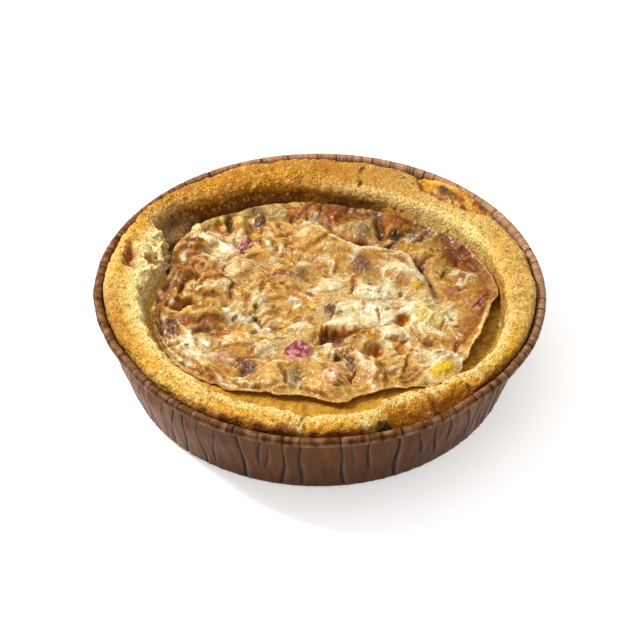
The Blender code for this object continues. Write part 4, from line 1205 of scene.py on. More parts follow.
# %% Marks of the back right quarter
BACK_RIGHT = (
    (3, 55, 6.5, 2.4, 95, 0, "rosy"), (8.2, 55, 6.5, 2, 95, 0.2, "rust"),
    (5.4, 49.4, 2.4, 0.9, 90, -0.3, "plum"), (6.5, 43, 4.2, 2.4, 100, 0.3, "tan"),
    (13, 49, 5, 3.6, 90, 0.3, "olive"), (18.5, 43.6, 4, 3, 90, 0.5, "herbs"),
    (19, 55.4, 4.2, 2.4, -10, 0.2, "toast"), (22.6, 57, 2.6, 1.1, -20, -0.2, "brown"),
    (32.6, 48, 5.2, 5.2, 0, 0, "toast"), (26.4, 46, 6.8, 1.6, 96, -0.5, "brown"),
    (32, 40.6, 3.8, 1.5, 0, -1.2, "dark"), (36.6, 45, 4.2, 1.2, 60, 0.5, "ember"),
    (43.2, 43, 4.6, 1.1, 38, 0.3, "mauve"), (38.5, 42, 3.4, 2, 70, 0.3, "herbs"),
    (39.6, 46, 1.3, 1, 0, 0.2, "glint"), (48.6, 42, 1.5, 0.9, 0, 0, "herb"),
    (46, 31.4, 1.2, 0.9, 0, 0, "herb"), (47, 28.6, 1.1, 0.7, 0, 0, "herb"),
    (55, 36, 4.6, 3.8, -40, 0.5, "rust"), (60, 25, 5.5, 4.4, -60, 0.3, "rust"),
    (64, 19.4, 2.8, 1.6, -40, -0.4, "brown"), (57, 26.6, 3.2, 1, 80, -0.5, "brown"),
    (41.6, 22.4, 4.4, 1.7, 66, -0.4, "brown"), (41.6, 15, 3.8, 0.9, 108, -0.3, "mauve"),
    (44.6, 27.6, 2.2, 1.4, 30, -0.2, "brown"), (42, 29.4, 3.8, 2.6, 20, 0.4, "honey"),
    (17.4, 36, 5.2, 1.5, -14, -0.6, "brown"), (20.4, 33, 3.8, 1.2, -5, -0.8, "brown"),
    (29, 34, 3.4, 1.8, 80, -1, "dark"), (31.5, 37, 2.6, 1, 10, 0, "mauve"),
    (13, 39.4, 3.2, 1.4, -20, 0, "rosy"), (24.2, 34.2, 2.6, 1.6, 60, 0.6, "gold"),
    (35.2, 31.6, 1.6, 0.8, 0, 0, "herb"), (28.5, 28.3, 4.6, 0.6, 17, -0.4, "rust"),
    (24.4, 29.6, 4.2, 1.2, 5, 0.3, "cheese"), (2.6, 22.6, 2.8, 1.1, 105, 0.7, "ember"),
    (5.8, 21.6, 3.2, 1, 105, 0.9, "pink"), (4.2, 17, 1.8, 0.6, -15, -0.6, "rust"),
    (9.6, 24.6, 3.2, 1.7, 10, 0.2, "tan"), (15, 12.6, 4.4, 1.2, 95, 0.1, "rust"),
    (13.7, 9, 5.5, 0.7, 88, -0.9, "toast"), (20, 15.5, 3.2, 2.4, 90, 0, "olive"),
    (21, 10.2, 1.6, 0.9, 80, 0, "mauve"), (33, 15.6, 8, 2.6, -42, 0.7, "cream"),
    (28.2, 14, 2.2, 1, 120, 0, "amber"), (33.5, 9, 2.4, 1.3, -50, 0, "honey"),
    (33, 22.4, 5.4, 1.5, -33, 0.3, "toast"), (22, 5.4, 9, 3.6, 0, 0.4, "cheese"),
    (39.2, 6.2, 2.4, 1.9, 80, 0.7, "yellow"), (12, 4.4, 1.9, 1.1, 50, 0.3, "amber"),
    (14.6, 1.2, 2.2, 0.9, 100, 0.2, "amber"), (33.2, 3, 1.3, 1.1, 0, -0.5, "herb"),
    (57, 6.4, 3.6, 2.2, 10, 0, "toast"), (57, 5.8, 0.9, 0.8, 0, 0, "herb"),
    (53.6, 4.6, 3, 2.6, 0, 0.1, "rosy"), (48, 8.4, 4.5, 3.8, 0, 0.2, "gold"),
    (63, 14, 4.4, 2.6, 60, 0.3, "olive"), (52, 20, 5.4, 3.8, 20, 0.3, "olive"),
    (51, 16.2, 2.6, 0.7, 60, -0.4, "herb"), (56, 18, 3.2, 1.6, 70, 0.4, "cream"),
    (59.4, 16, 5.2, 1, 75, 0, "toast"), (66.6, 4.4, 3.6, 2.8, 60, 0.2, "rust"),
)
print("marks at the back right:", len(BACK_RIGHT))

# %% Marks of the front left quarter
FRONT_LEFT = (
    (-57.5, -3.4, 4.6, 1.8, -32, -1.6, "rust"), (-58.5, -5.2, 4.6, 0.7, -38, 0.9, "gold"),
    (-51.5, -0.6, 2.8, 1.7, -15, -1.6, "moss"), (-62.4, 3, 3.4, 1.5, 85, 0.4, "rust"),
    (-57.4, 2.6, 2.8, 1.4, 80, 0.4, "toast"), (-67.2, 0, 8, 1, 88, 0.6, "cream"),
    (-63.6, -7, 7, 1.2, 95, 0.5, "tan"), (-62, -13, 8, 0.6, 94, -0.5, "brown"),
    (-60.4, -15.5, 5, 1, 96, 0.3, "mauve"), (-56, -13, 1.5, 1.3, 30, 0.4, "glint"),
    (-60, -18.6, 1.4, 0.8, 110, 0.3, "glint"), (-47, -5.4, 4.4, 2, 5, 0.2, "toast"),
    (-52.4, -12, 3, 2.4, 40, 0, "toast"), (-44, -13.6, 8, 2, 6, -0.3, "toast"),
    (-39, -19, 4.6, 1.4, 5, -0.2, "rust"), (-46.6, -17, 4, 1.3, 0, -0.2, "mauve"),
    (-47, -9.4, 6, 2.6, -5, 0.5, "gold"), (-37, -6, 3.2, 2, 110, 0.5, "cheese"),
    (-28.6, -12, 3, 2.2, 60, 0.5, "glint"), (-33, -11.6, 1.6, 0.9, 30, 0, "herb"),
    (-37, -3, 1.5, 0.9, 80, -0.3, "herb"), (-30, -15, 1.1, 0.6, 0, -0.3, "herb"),
    (-24.3, -4, 1.2, 1, 80, -0.8, "herb"), (-26, -7, 2.2, 1.6, 60, 0, "toast"),
    (-24, 1, 4.2, 3, 70, 0.8, "cream"), (-17.5, -3.5, 1.6, 0.6, 90, -0.2, "brown"),
    (-15.4, -4.4, 0.9, 0.6, 0, 0, "herb"), (-12.6, -6.2, 2.6, 1.2, 110, 0.5, "ember"),
    (-2, -1.6, 2.6, 1.3, 110, 0.5, "yellow"), (-1.6, -6, 2.2, 1.7, 60, 0.3, "ember"),
    (-3, -11, 2.8, 1.6, 0, 0.2, "rust"), (-8.6, -12.6, 3.2, 1.6, 80, 0.3, "rust"),
    (-8, -3, 1.6, 1.2, 20, 0.4, "cheese"), (-10.4, 1.4, 3.2, 1.8, 10, 0.2, "glint"),
    (-7, -17, 5.4, 2.3, 5, 1, "cream"), (-20, -9, 5, 2.6, 105, 0.8, "gold"),
    (-23.6, -12.5, 6, 0.7, -50, -0.6, "brown"), (-22, -17, 4.2, 2.6, 20, 0.4, "cheese"),
    (-25, -19.6, 2.2, 1, 90, -0.3, "moss"), (-21, -24.4, 4.6, 1.1, 0, -0.3, "amber"),
    (-13, -17, 3.2, 1.4, 90, 0, "honey"), (-14.2, -23, 2.6, 1.5, 20, 0, "toast"),
    (-30.6, -21, 5.6, 4.4, 70, 0.8, "honey"), (-27.4, -25, 4.4, 0.6, 105, 0.5, "cream"),
    (-50, -23, 4.4, 1.8, 100, 0.5, "cheese"), (-44, -25.2, 1.8, 1.7, 0, 0.5, "cheese"),
    (-49, -27, 2, 0.9, 100, 0.3, "yellow"), (-38, -25, 1.4, 1.1, 50, 0, "mauve"),
    (-41, -28, 1.5, 1.1, 0, 0.3, "yellow"), (-37.6, -30, 2.2, 1, 10, -0.3, "brown"),
    (-52, -28, 1.2, 1, 0, 0, "herb"), (-20, -31, 4.4, 3, 10, 0.6, "cream"),
    (-30, -36, 2.6, 1.3, 5, -0.5, "brown"), (-26, -40, 3.4, 2.8, 60, 0.2, "mauve"),
    (-28.6, -43, 2.2, 1.2, 10, -0.3, "brown"), (-34, -34, 1.8, 0.9, 70, 0, "herb"),
    (-38, -34, 6, 3.6, -30, 0.4, "pink"), (-52, -38, 1.6, 0.9, -30, -0.4, "brown"),
    (-47.4, -41, 3.2, 1.3, -40, 0, "toast"), (-41, -47, 6, 1.1, -56, 0.2, "rust"),
    (-36.4, -48, 4.4, 0.9, -58, 0.5, "cheese"), (-20, -41, 4.2, 3.6, 0, 0.4, "gold"),
    (-17, -45.6, 5, 3.8, 40, 0.4, "honey"), (-13, -46, 5.2, 1.5, 105, -0.2, "toast"),
    (-9, -45, 4.2, 1.7, 90, 0.2, "olive"), (-59, -30, 6, 1.2, -50, 0.4, "tan"),
    (-61.4, -26, 3.4, 0.6, -58, -0.4, "rust"), (-33, -55.4, 3, 0.9, 0, 0, "ember"),
    (-47, -33, 3.6, 2, -20, 0.4, "cream"),
)
print("marks at the front left:", len(FRONT_LEFT))

# %% Marks of the front right quarter
FRONT_RIGHT = (
    (8, -9, 2.2, 1.4, 30, 0.2, "ember"), (10, -8, 0.8, 0.6, 0, 0, "herb"),
    (9, -2, 2.2, 1.5, 30, 0.2, "rosy"), (13.4, -5.6, 1.6, 1.1, 90, 0.2, "yellow"),
    (18.4, -2, 2.4, 0.8, 110, -0.3, "amber"), (22, -5, 3.2, 2.6, 20, 0.5, "cheese"),
    (24.2, -10, 5.4, 0.6, 92, -0.7, "tan"), (30, -4.6, 3.6, 1.4, 0, 0.2, "rosy"),
    (27.6, -5, 0.9, 0.7, 0, -0.2, "brown"), (33, -4, 0.9, 0.8, 0, -0.3, "brown"),
    (36.6, -5.4, 4.2, 2.8, 80, 0.5, "cheese"), (34, -12, 3, 2.3, 80, -0.6, "amber"),
    (33.6, -9.4, 2.4, 1.2, 0, 0.2, "honey"), (13, -19, 10.5, 2, -3, -0.4, "toast"),
    (7.6, -21.6, 4.4, 2.6, 10, -0.5, "brown"), (15.6, -23, 2.4, 1.7, 0, -0.3, "rust"),
    (21.4, -22, 3, 2.6, 70, 0.2, "ember"), (10, -19, 1.6, 1.4, 0, 0.5, "tan"),
    (2.4, -21.4, 5.4, 1.4, 72, -1.2, "brown"), (3.6, -16, 2.2, 0.9, 80, -0.2, "rust"),
    (30, -23, 4.2, 1.3, -10, -0.2, "olive"), (33.6, -24.6, 1.6, 1.1, 0, -0.2, "toast"),
    (35.6, -26.4, 2.6, 1.1, 110, 0.4, "glint"), (39, -25.6, 1.7, 1.3, 60, 0.4, "rust"),
    (43, -25.6, 1.9, 1.5, 60, -0.4, "brown"), (42.4, -22.8, 2.6, 0.7, 0, 0.6, "gold"),
    (32.4, -29.2, 3.6, 2, 85, -0.8, "ember"), (36.6, -31, 1.8, 0.9, 0, -0.2, "moss"),
    (28.4, -29, 4.4, 1.7, 88, 0.3, "cream"), (22.6, -30.4, 4.6, 1.9, 42, -0.4, "ember"),
    (22.4, -27, 3.4, 1.2, 30, 0.5, "honey"), (4.4, -29.4, 5.2, 2.4, -55, 0.9, "cream"),
    (6.4, -28, 1.4, 1, 0, 0.1, "rosy"), (9.4, -29.6, 2.8, 0.9, 10, 0.8, "cream"),
    (7.8, -34.4, 2, 1.4, 70, -1.4, "dark"), (12, -46, 2.8, 1.3, 115, -0.4, "rust"),
    (14.8, -28.6, 2, 1, -20, 0.4, "rosy"), (16.4, -34, 4.2, 2.2, 110, 0.8, "cream"),
    (18.4, -41.6, 4.4, 2.6, 110, 0.4, "cream"), (22, -47, 3.2, 1.1, 105, 0.4, "pink"),
    (26, -36, 5.4, 2.6, 0, 0.5, "gold"), (30.6, -37, 1.8, 0.9, 40, -0.2, "olive"),
    (34.4, -38.4, 5.6, 0.7, 82, -0.6, "toast"), (28.4, -42.6, 3.6, 2.6, 40, 0.8, "rosy"),
    (28.8, -41.8, 2.2, 1.3, 40, 0.4, "cream"), (35.6, -46, 6.4, 1.4, 40, 0.3, "toast"),
    (24, -41, 4.2, 1.3, 100, -0.2, "tan"), (39, -36.4, 3.4, 2.4, 30, 0.4, "gold"),
    (2.2, -42.6, 1.8, 1.1, 30, 0, "mauve"), (2, -48, 1.5, 1.2, 60, 0.2, "honey"),
    (5, -45.6, 5, 4.4, 80, 0.2, "pink"), (7.6, -52, 3.2, 1.6, 20, -0.2, "moss"),
    (6.6, -53.2, 0.9, 0.7, 0, 0, "herb"), (47.6, -42, 8.6, 5.4, 42, 0.5, "cheese"),
    (42, -42, 2.2, 1.6, 60, 0.3, "ember"), (48, -42.6, 6.8, 3.8, 42, 0.2, "yellow"),
    (48.4, -42.4, 6.2, 3.2, 42, 0, "yellow"), (55, -37.4, 4.4, 1.5, 110, 0.9, "cheese"),
    (51, -36.2, 5, 1.1, 20, 0.9, "cheese"), (17.5, -18.4, 6, 1.8, -12, 0, "amber"),
    (21.5, -22, 2.6, 2.6, 0, 0, "amber"), (31.6, -27, 2.6, 3.6, 10, -0.4, "amber"),
    (22.8, -29.6, 3.6, 2.2, 40, -0.6, "amber"), (34, -11.6, 2.2, 2.6, 0, -0.6, "amber"),
    (40, -49, 2.6, 2.2, 30, 0.5, "olive"), (47, -33, 2.4, 1.5, 40, 0, "rosy"),
    (53, -12, 1.8, 1.3, 30, 0, "rust"), (54, -16, 1.2, 0.8, 40, 0, "herb"),
    (57, -4, 3.4, 1.8, 20, 0.2, "olive"), (62.4, -14, 15, 1.6, 66, -0.3, "ember"),
    (54.2, -28, 4.8, 1, 62, -0.4, "brown"), (44, -9, 7, 8, 0, 0.2, "crumb"),
    (58, -36.4, 4.2, 1.2, 70, 0, "olive"),
)
print("marks at the front right:", len(FRONT_RIGHT))

# %% [markdown]
# Lines do what ovals can't: long folds, cracks and thin torn edges. Each is a few points, a half width, a
# rise and a stain. A line with a rise is a fold, one with a fall is a crack.

# %% Folds and cracks on the left
LEFT_FOLDS = (
    (((-28, 24), (-24, 20.5), (-20, 17)), 0.5, 0.5, "cream"),
    (((-27.4, 23), (-23.6, 19.6), (-20, 16)), 0.5, -0.5, "toast"),
    (((-33.6, 44), (-35, 39), (-34, 35), (-32, 31.5)), 0.5, -0.5, "mauve"),
    (((-39, 26), (-35, 26.4), (-31, 28)), 0.4, -0.4, "herbs"),
    (((-46, 44), (-42, 43), (-38.6, 40)), 0.6, 0.6, "cream"),
    (((-52, 26), (-50, 22), (-49, 17), (-49.4, 12)), 0.5, -0.7, "toast"),
    (((-50, 24), (-47.6, 18), (-48, 12)), 0.6, 0.5, "gold"),
    (((-53, -4.4), (-47, -2), (-41, -2.2), (-38, -6), (-36, -11)), 0.5, -0.6, "toast"),
    (((-50, 1.4), (-43, 0.4), (-38.6, -2)), 0.6, 0.5, "gold"),
    (((-66, 4), (-65.4, -6), (-64.6, -14), (-62, -22), (-57, -29)), 0.5, 0.7, "gold"),
    (((-64.6, 2), (-64.2, -6), (-63.4, -14), (-61, -21)), 0.45, -0.6, "rust"),
    (((-61, -22), (-58, -27), (-54, -31.4), (-51, -34)), 0.5, -0.6, "rust"),
    (((-59.6, -21.4), (-56.6, -26), (-53, -30)), 0.5, 0.6, "gold"),
    (((-56, -36.6), (-51, -36), (-47, -39)), 0.4, 0.5, "gold"),
    (((-44, -41), (-40, -46), (-36.6, -51), (-33, -54)), 0.5, -0.6, "brown"),
    (((-42.4, -40), (-38.6, -44.6), (-35, -50)), 0.5, 0.5, "tan"),
    (((-34, -46), (-29, -48.4), (-24, -50.4), (-17.6, -51.6)), 0.9, 0.9, "cream"),
    (((-33, -49), (-28, -51), (-22, -52.6)), 0.6, -0.5, "moss"),
    (((-18, -54), (-17, -56), (-16.4, -58.6)), 0.35, 0.3, "gold"),
)
print("folds on the left:", len(LEFT_FOLDS))

# %% Folds and cracks in the front, on the right and in the middle
OTHER_FOLDS = (
    (((-12, -50), (-6, -50.4), (-1, -53), (3, -56), (7, -60)), 0.5, 0.6, "gold"),
    (((-11, -51.6), (-5, -52), (1, -55.4), (6, -60)), 0.5, -0.5, "toast"),
    (((2, -40), (5, -44), (9.6, -48), (12.4, -49.4)), 0.6, -0.6, "toast"),
    (((14.6, -42), (12.6, -46), (13.4, -49)), 0.5, -0.8, "brown"),
    (((20, -34), (21.6, -40), (23.6, -46), (24.4, -50)), 0.6, 0.7, "gold"),
    (((25, -45), (27.6, -46.6), (31, -46), (33, -42), (33, -39)), 0.6, 0.6, "gold"),
    (((31, -49), (36, -46.6), (40, -42.6)), 0.6, 0.6, "gold"),
    (((30, -47.6), (34, -46), (38.6, -42)), 0.5, -0.6, "rust"),
    (((26, -26), (29, -32), (34, -33.4), (38, -32)), 0.5, 0.6, "gold"),
    (((4.6, -16), (9, -17.4), (15, -17.6), (21, -18.6), (24.4, -21)), 0.6, 0.4, "honey"),
    (((1.6, -15), (0.6, -20), (-0.6, -25)), 0.6, 0.5, "tan"),
    (((6.4, -3), (6.8, -7), (5.6, -11)), 0.5, -0.8, "brown"),
    (((25, 3), (28, 0), (34, -1), (41, -3), (50, -4)), 0.6, 0.4, "cheese"),
    (((16, 0.4), (22, 1.6), (30, 0.6)), 0.5, -0.4, "olive"),
    (((16, 6.4), (24, 5.6), (30, 5)), 0.4, -0.3, "olive"),
    (((49.6, -8), (50, -13), (49, -19)), 0.5, -0.5, "tan"),
    (((36.4, -14), (38, -18), (40, -21)), 0.5, -0.5, "gold"),
    (((58, 30), (61, 26.6), (64.6, 23)), 0.5, 0.5, "tan"),
    (((40, 28), (37.6, 25), (39, 21), (42, 16), (43.6, 9)), 0.5, 0.4, "pink"),
    (((27, 53.6), (27.4, 47), (28, 41)), 0.5, 0.5, "tan"),
    (((1, 62), (4, 56), (4.6, 50), (7, 44)), 0.4, -0.3, "plum"),
    (((-9.6, 58), (-11, 54), (-8.6, 50), (-4, 48)), 0.5, -0.4, "rust"),
    (((-2, 46), (3, 40.4), (9.4, 35.4), (16.6, 30.4), (26, 29.2)), 0.8, 0.3, "cream"),
    (((-20, 18), (-16.6, 20.6), (-12, 20.4), (-8, 17)), 0.4, 0.5, "gold"),
    (((-30, -8), (-24, -13), (-18, -16.4), (-12, -15)), 0.5, -0.5, "toast"),
    (((-26, -28), (-22, -27.6), (-17, -29)), 0.5, 0.5, "cream"),
    (((-18, -36), (-14, -39), (-9.6, -40)), 0.5, 0.5, "cream"),
    (((62, -22), (58, -30), (52, -33), (46, -36)), 0.6, 0.4, "tan"),
    (((68.6, -3), (67, -10), (64.4, -18), (61.4, -26), (58, -33)), 0.9, 0.7, "crumb"),
)
FOLDS = LEFT_FOLDS + OTHER_FOLDS
print("folds and cracks:", len(FOLDS))

# %% Parts of the skin that stay smooth
# x, y, half length, half width (mm), turn (degrees)
SMOOTH = (
    (-27, 20, 8, 5, -40),
    (14, -14, 10, 4.5, -5),
    (32, -18, 6, 4, -20),
    (6, 8, 6, 6, 0),
    (36, 14, 8, 4, -40),
    (48, -42, 7, 5, 40),
    (14, -5, 4, 3, 0),
    (-7, -17, 5, 2.4, 0),
)
print("smooth parts:", len(SMOOTH))

# %% [markdown]
# Between the marks, noise does the rest. Curled noise, read at places that slower noise has pushed aside,
# looks like shreds of melted cheese.


# %% Curls, lumps and ragged edges
def swirled(x, y):
    """Coordinates pushed about a little, so that edges of ovals and lines become ragged."""
    place = flat(x, y)
    push_x = 1.3 * noise(place, 5.0, 50) + 0.7 * noise(place, 2.0, 51) + 0.25 * noise(place, 0.8, 54)
    push_y = 1.3 * noise(place, 5.0, 52) + 0.7 * noise(place, 2.0, 53) + 0.25 * noise(place, 0.8, 55)
    return x + push_x, y + push_y


def curled(x, y, size, seed):
    """Noise drawn out into curls, from about -1 to 1."""
    place = flat(x, y)
    push_x = 1.1 * size * noise(place, 2.2 * size, seed)
    push_y = 1.1 * size * noise(place, 2.2 * size, seed + 1)
    return noise(flat(x + push_x, y + push_y), size, seed + 2)


def lumpy(x, y, size, seed):
    """Rounded lumps with creases between them, from 0 in a crease to about 1 on top."""
    return np.minimum(np.abs(curled(x, y, size, seed)) * 2.2, 1.0)

# %% [markdown]
# The height of the skin adds up: the ledge, the swellings, the marks and the folds as listed, then swells
# and wrinkles from noise. Where curled noise crosses zero lies a line. On the browned left and back the
# custard sinks there into a crease, and in the creamy middle the skin stands up there in a thin fold.

# %% Lay down the listed forms
FORM_STRETCH = 1.6  # how much longer than wide the skin's swells are; most run down to the right
MARKS = BACK_LEFT + BACK_RIGHT + FRONT_LEFT + FRONT_RIGHT


def set_forms(x, y):
    """Height in mm of the ledge, the swellings, the marks and the folds."""
    ragged_x, ragged_y = swirled(x, y)
    distance, side, _ = to_line(x, y, SKIN_LEDGE)
    signed = np.where(side < 0, distance, -distance)
    ends = eased((x - SKIN_LEDGE[0][0]) / 6 + 0.5) * eased((SKIN_LEDGE[-1][0] - x) / 6 + 0.8)
    relief = LEDGE_HEIGHT * eased(signed / 1.2 + 0.5) * eased(1.1 - signed / LEDGE_REACH) * ends
    for *place, rise in SWELLINGS:
        relief += 1.4 * rise * spot(x, y, place)
    for *place, rise, _ in MARKS:
        if rise:
            relief += 1.5 * rise * spot(ragged_x, ragged_y, place)
    for line, half_width, rise, _ in FOLDS:
        relief += 1.2 * rise * stroke(ragged_x, ragged_y, line, half_width * 1.3)
    return relief


print("marks set by hand:", len(MARKS))


# %% Wrinkle the skin between them
def skin_relief(x, y):
    """Height of the skin above its level, in mm, and how deep in a crease each point lies, from 0 to 1."""
    relief = set_forms(x, y)
    smooth = np.zeros_like(x)
    for place in SMOOTH:
        smooth = np.maximum(smooth, spot(x, y, place))
    rough = 1 - 0.75 * smooth
    browned_side = eased(0.5 - x / 50 + y / 90)
    along, side = (x * 0.82 - y * 0.57) / FORM_STRETCH, x * 0.57 + y * 0.82
    hills = noise(flat(along, side), 10.0, 59)
    large_line = np.exp(-((curled(x, y, 9.0, 60) / 0.13) ** 2))
    medium_line = np.exp(-((curled(x, y, 4.4, 64) / 0.15) ** 2))
    small_line = np.exp(-((curled(x, y, 2.0, 68) / 0.22) ** 2))
    shreds = curled(x, y, 1.5, 72)
    lean = 0.7 - 1.7 * browned_side
    relief += rough * (1.6 * hills + 1.0 * curled(along, side, 7.0, 56) + 0.3 * curled(along, side, 3.6, 76))
    relief += rough * (0.9 * lean * large_line + 0.35 * lean * medium_line)
    relief += rough * (0.12 * shreds - 0.05 * small_line)
    relief += 0.05 * noise(flat(x, y), 0.7, 79)
    crease = rough * (browned_side * (0.9 * large_line + 0.6 * medium_line) + 0.3 * small_line)
    return relief, crease

# %% [markdown]
# Heat browns the custard unevenly, and painted shade and light ride on the same browning: hollows,
# creases and slopes that face the viewer are darkened as painted shade, and ridges are kept pale as
# painted light.
# Browning raises a colour to a power, above 1 darker and stronger, below 1 paler and milder. It needs to
# know at each point whether the skin is a ridge or a hollow, so the height is also read a little way off
# on each side.

# %% Tell ridges from hollows
CURVE_STEP = 2.2  # mm to each side, over which ridges are told from hollows
SLOPE_STEP = 1.2  # mm towards the viewer, over which the fall of the skin is measured
NEIGHBOURS = ((CURVE_STEP, 0), (-CURVE_STEP, 0), (0, CURVE_STEP), (0, -CURVE_STEP))


def ridge_and_fall(x, y):
    """From -1 in a hollow to 1 on a ridge, and how far the skin falls towards the viewer, in mm."""
    height = skin_relief(x, y)[0]
    fall = height - skin_relief(x, y - SLOPE_STEP)[0]
    beside = [skin_relief(x + east, y + north)[0] for east, north in NEIGHBOURS]
    return np.clip((height - sum(beside) / 4) / 0.55, -1, 1), fall


# %% Brown and shade a colour
BROWNING_SHARES = (1.25, 1.0, 0.85)  # red fades a little more than green and blue do, or browns turn orange
BRIGHTNESS_SHARES = (0.3, 0.59, 0.11)  # what red, green and blue add to how bright a colour looks
DEEP_FROM = 0.42  # below this brightness, a brown loses green and blue
DEEP_BROWNING = (-0.06, 0.2, 0.52)


def browned_and_shaded(colours, browning_and_shade):
    """The colours, browned and given painted shade and light; dark ones have little more to take, and deep
    browns turn warmer.
    """
    mildness = np.clip(colours.mean(axis=1) * 1.6, 0.1, 1.0)
    power = np.clip((browning_and_shade - 1) * mildness, -0.6, 0.8)
    colours = colours ** (1 + power[:, None] * np.array(BROWNING_SHARES))
    depth = eased((DEEP_FROM - colours @ np.array(BRIGHTNESS_SHARES)) / DEEP_FROM)
    return colours * (1 - depth[:, None] * np.array(DEEP_BROWNING))


# %% Stain the skin
def skin_stains(x, y, streaks, shreds):
    """The skin's colour before it browns: wide parts, patches, each mark and fold, a painted shadow on the
    ledge's low side, and cream along its raised edge, partly painted highlight.
    """
    ragged_x, ragged_y = swirled(x, y)
    colours = np.tile(linear(STAINS["gold"]), (len(x), 1))
    for *oval, name, strength in REGIONS:
        wide = spot(ragged_x, ragged_y, oval) * (1 + 0.4 * streaks)
        colours = stained(colours, STAINS[name], strength * wide)
    browned_side = eased(0.5 - x / 60 + y / 80)
    patchy = curled(x, y, 7.0, 94) + 0.25 * shreds
    colours = stained(colours, STAINS["toast"], 0.35 * eased((patchy - 0.2) / 0.2))
    colours = stained(colours, STAINS["cheese"], (0.7 - 0.3 * browned_side) * eased((-0.22 - patchy) / 0.2))
    for *oval, _, name in MARKS:
        amount = spot(ragged_x, ragged_y, oval) * (1 + 0.6 * shreds)
        colours = stained(colours, STAINS[name], 0.85 * eased((amount - 0.1) / 0.75))
    for line, half_width, _, name in FOLDS:
        amount = stroke(ragged_x, ragged_y, line, half_width * 1.2)
        colours = stained(colours, STAINS[name], 0.7 * amount)
    distance, side, _ = to_line(x, y, SKIN_LEDGE)
    return layered(
        colours,
        # painted shadow on the ledge's low side; cream on its raised edge, partly painted highlight
        (STAINS["brown"], 0.8 * eased(1.1 - distance / 3.5) * (side >= 0)),
        (STAINS["dark"], 0.5 * eased(1.1 - distance / 1.8) * (side >= 0)),
        (STAINS["cream"], 0.6 * eased(1.1 - distance / 1.6) * (side < 0)),
    )


# %% Brown and shade the skin and scatter flecks over it
def skin_colours(x, y, crease):
    """The skin's colour at each point: its stains, browned and given painted shade and light, then flecks
    of herb and crumbs.
    """
    place = flat(x, y)
    ridge, fall = ridge_and_fall(x, y)
    streaks, shreds = curled(x, y, 3.4, 81), curled(x, y, 1.5, 72)
    # ridges paler as painted light, over the browning
    browning_and_shade = 0.98 + 0.16 * eased(0.5 + x / 60) - 0.6 * ridge + 0.35 * streaks
    # creases darker as painted shade, over the browning
    browning_and_shade += 0.25 * shreds + 0.2 * noise(place, 0.9, 85) + 0.4 * crease
    # slopes that fall towards the viewer darker, those that rise paler: painted shade and light
    browning_and_shade += 0.8 * eased((fall - 0.2) / 0.9) - 0.4 * eased((-fall - 0.1) / 0.7)
    flecks, fleck_number = cells(place, 2.0, 90)
    crumbs, crumb_number = cells(place, 1.3, 91)
    return layered(
        browned_and_shaded(skin_stains(x, y, streaks, shreds), browning_and_shade),
        (STAINS["herb"], 0.75 * (flecks < 0.17) * (fleck_number > 0.76)),
        (STAINS["mauve"], 0.6 * (flecks < 0.24) * (fleck_number < 0.12)),
        (STAINS["cheese"], 0.6 * (crumbs < 0.3) * (crumb_number > 0.82)),
        (STAINS["toast"], 0.6 * (crumbs < 0.3) * (crumb_number < 0.16)),
    )

# %% [markdown]
# The skin is a disc of rings out to its ragged edge. There it turns down and a little inward, so that a
# real gap opens under it, and the plain custard below runs on to the crust. The sides and the underside
# close the piece, because the crust hides them.

# %% Lay out the skin
SKIN_RINGS = 150
EDGE_RADIUS = 66  # mm, about where the skin ends; its wander is read on this circle

skin_ring, skin_angle, skin_triangles = disc_layout(SKIN_RINGS)
skin_degrees = np.degrees(skin_angle)
edge_place = EDGE_RADIUS * flat(np.cos(skin_angle), np.sin(skin_angle))
edge_wander = noise(edge_place, 5.0, 100) + 0.5 * noise(edge_place, 1.6, 101)
skin_edge = around(SKIN_STATIONS, skin_degrees, 1) + 0.8 * edge_wander
skin_share = skin_ring / SKIN_RINGS
x, y = skin_edge * skin_share * np.cos(skin_angle), skin_edge * skin_share * np.sin(skin_angle)
skin_height, skin_crease = skin_relief(x, y)
near_edge = eased((skin_share - 0.955) / 0.045)
edge_lift = 0.35 + 1.6 * facing(skin_degrees, 15, 2.2, -1.0)
skin_height = skin_height * (1 - 0.7 * near_edge) + edge_lift * near_edge
skin_points = np.stack([x, y, FILLING_LEVEL + skin_height], axis=1)
print("the skin has", len(skin_points), "points and rises", skin_height.max().round(1), "mm")

# %% Colour the skin
SKIN_EDGE_BROWN = (120, 62, 14)
browned_edge = facing(skin_degrees, 42, 2.6, -1.2) * eased((skin_share - 0.89) / 0.08)
edge_blots = noise(flat(x, y), 2.6, 102)
skin_paint = layered(
    skin_colours(x, y, skin_crease),
    (SKIN_EDGE_BROWN, browned_edge * (0.6 + 0.5 * edge_wander + 0.4 * edge_blots)),
    (STAINS["gold"], 0.6 * eased((skin_ring - SKIN_RINGS + 2.2) / 1.4)),
)
print("the skin's mean colour, as red, green and blue:", skin_paint.mean(axis=0).round(2))

# %% Drop the torn edge to the custard below
MARGIN_ROWS = 14

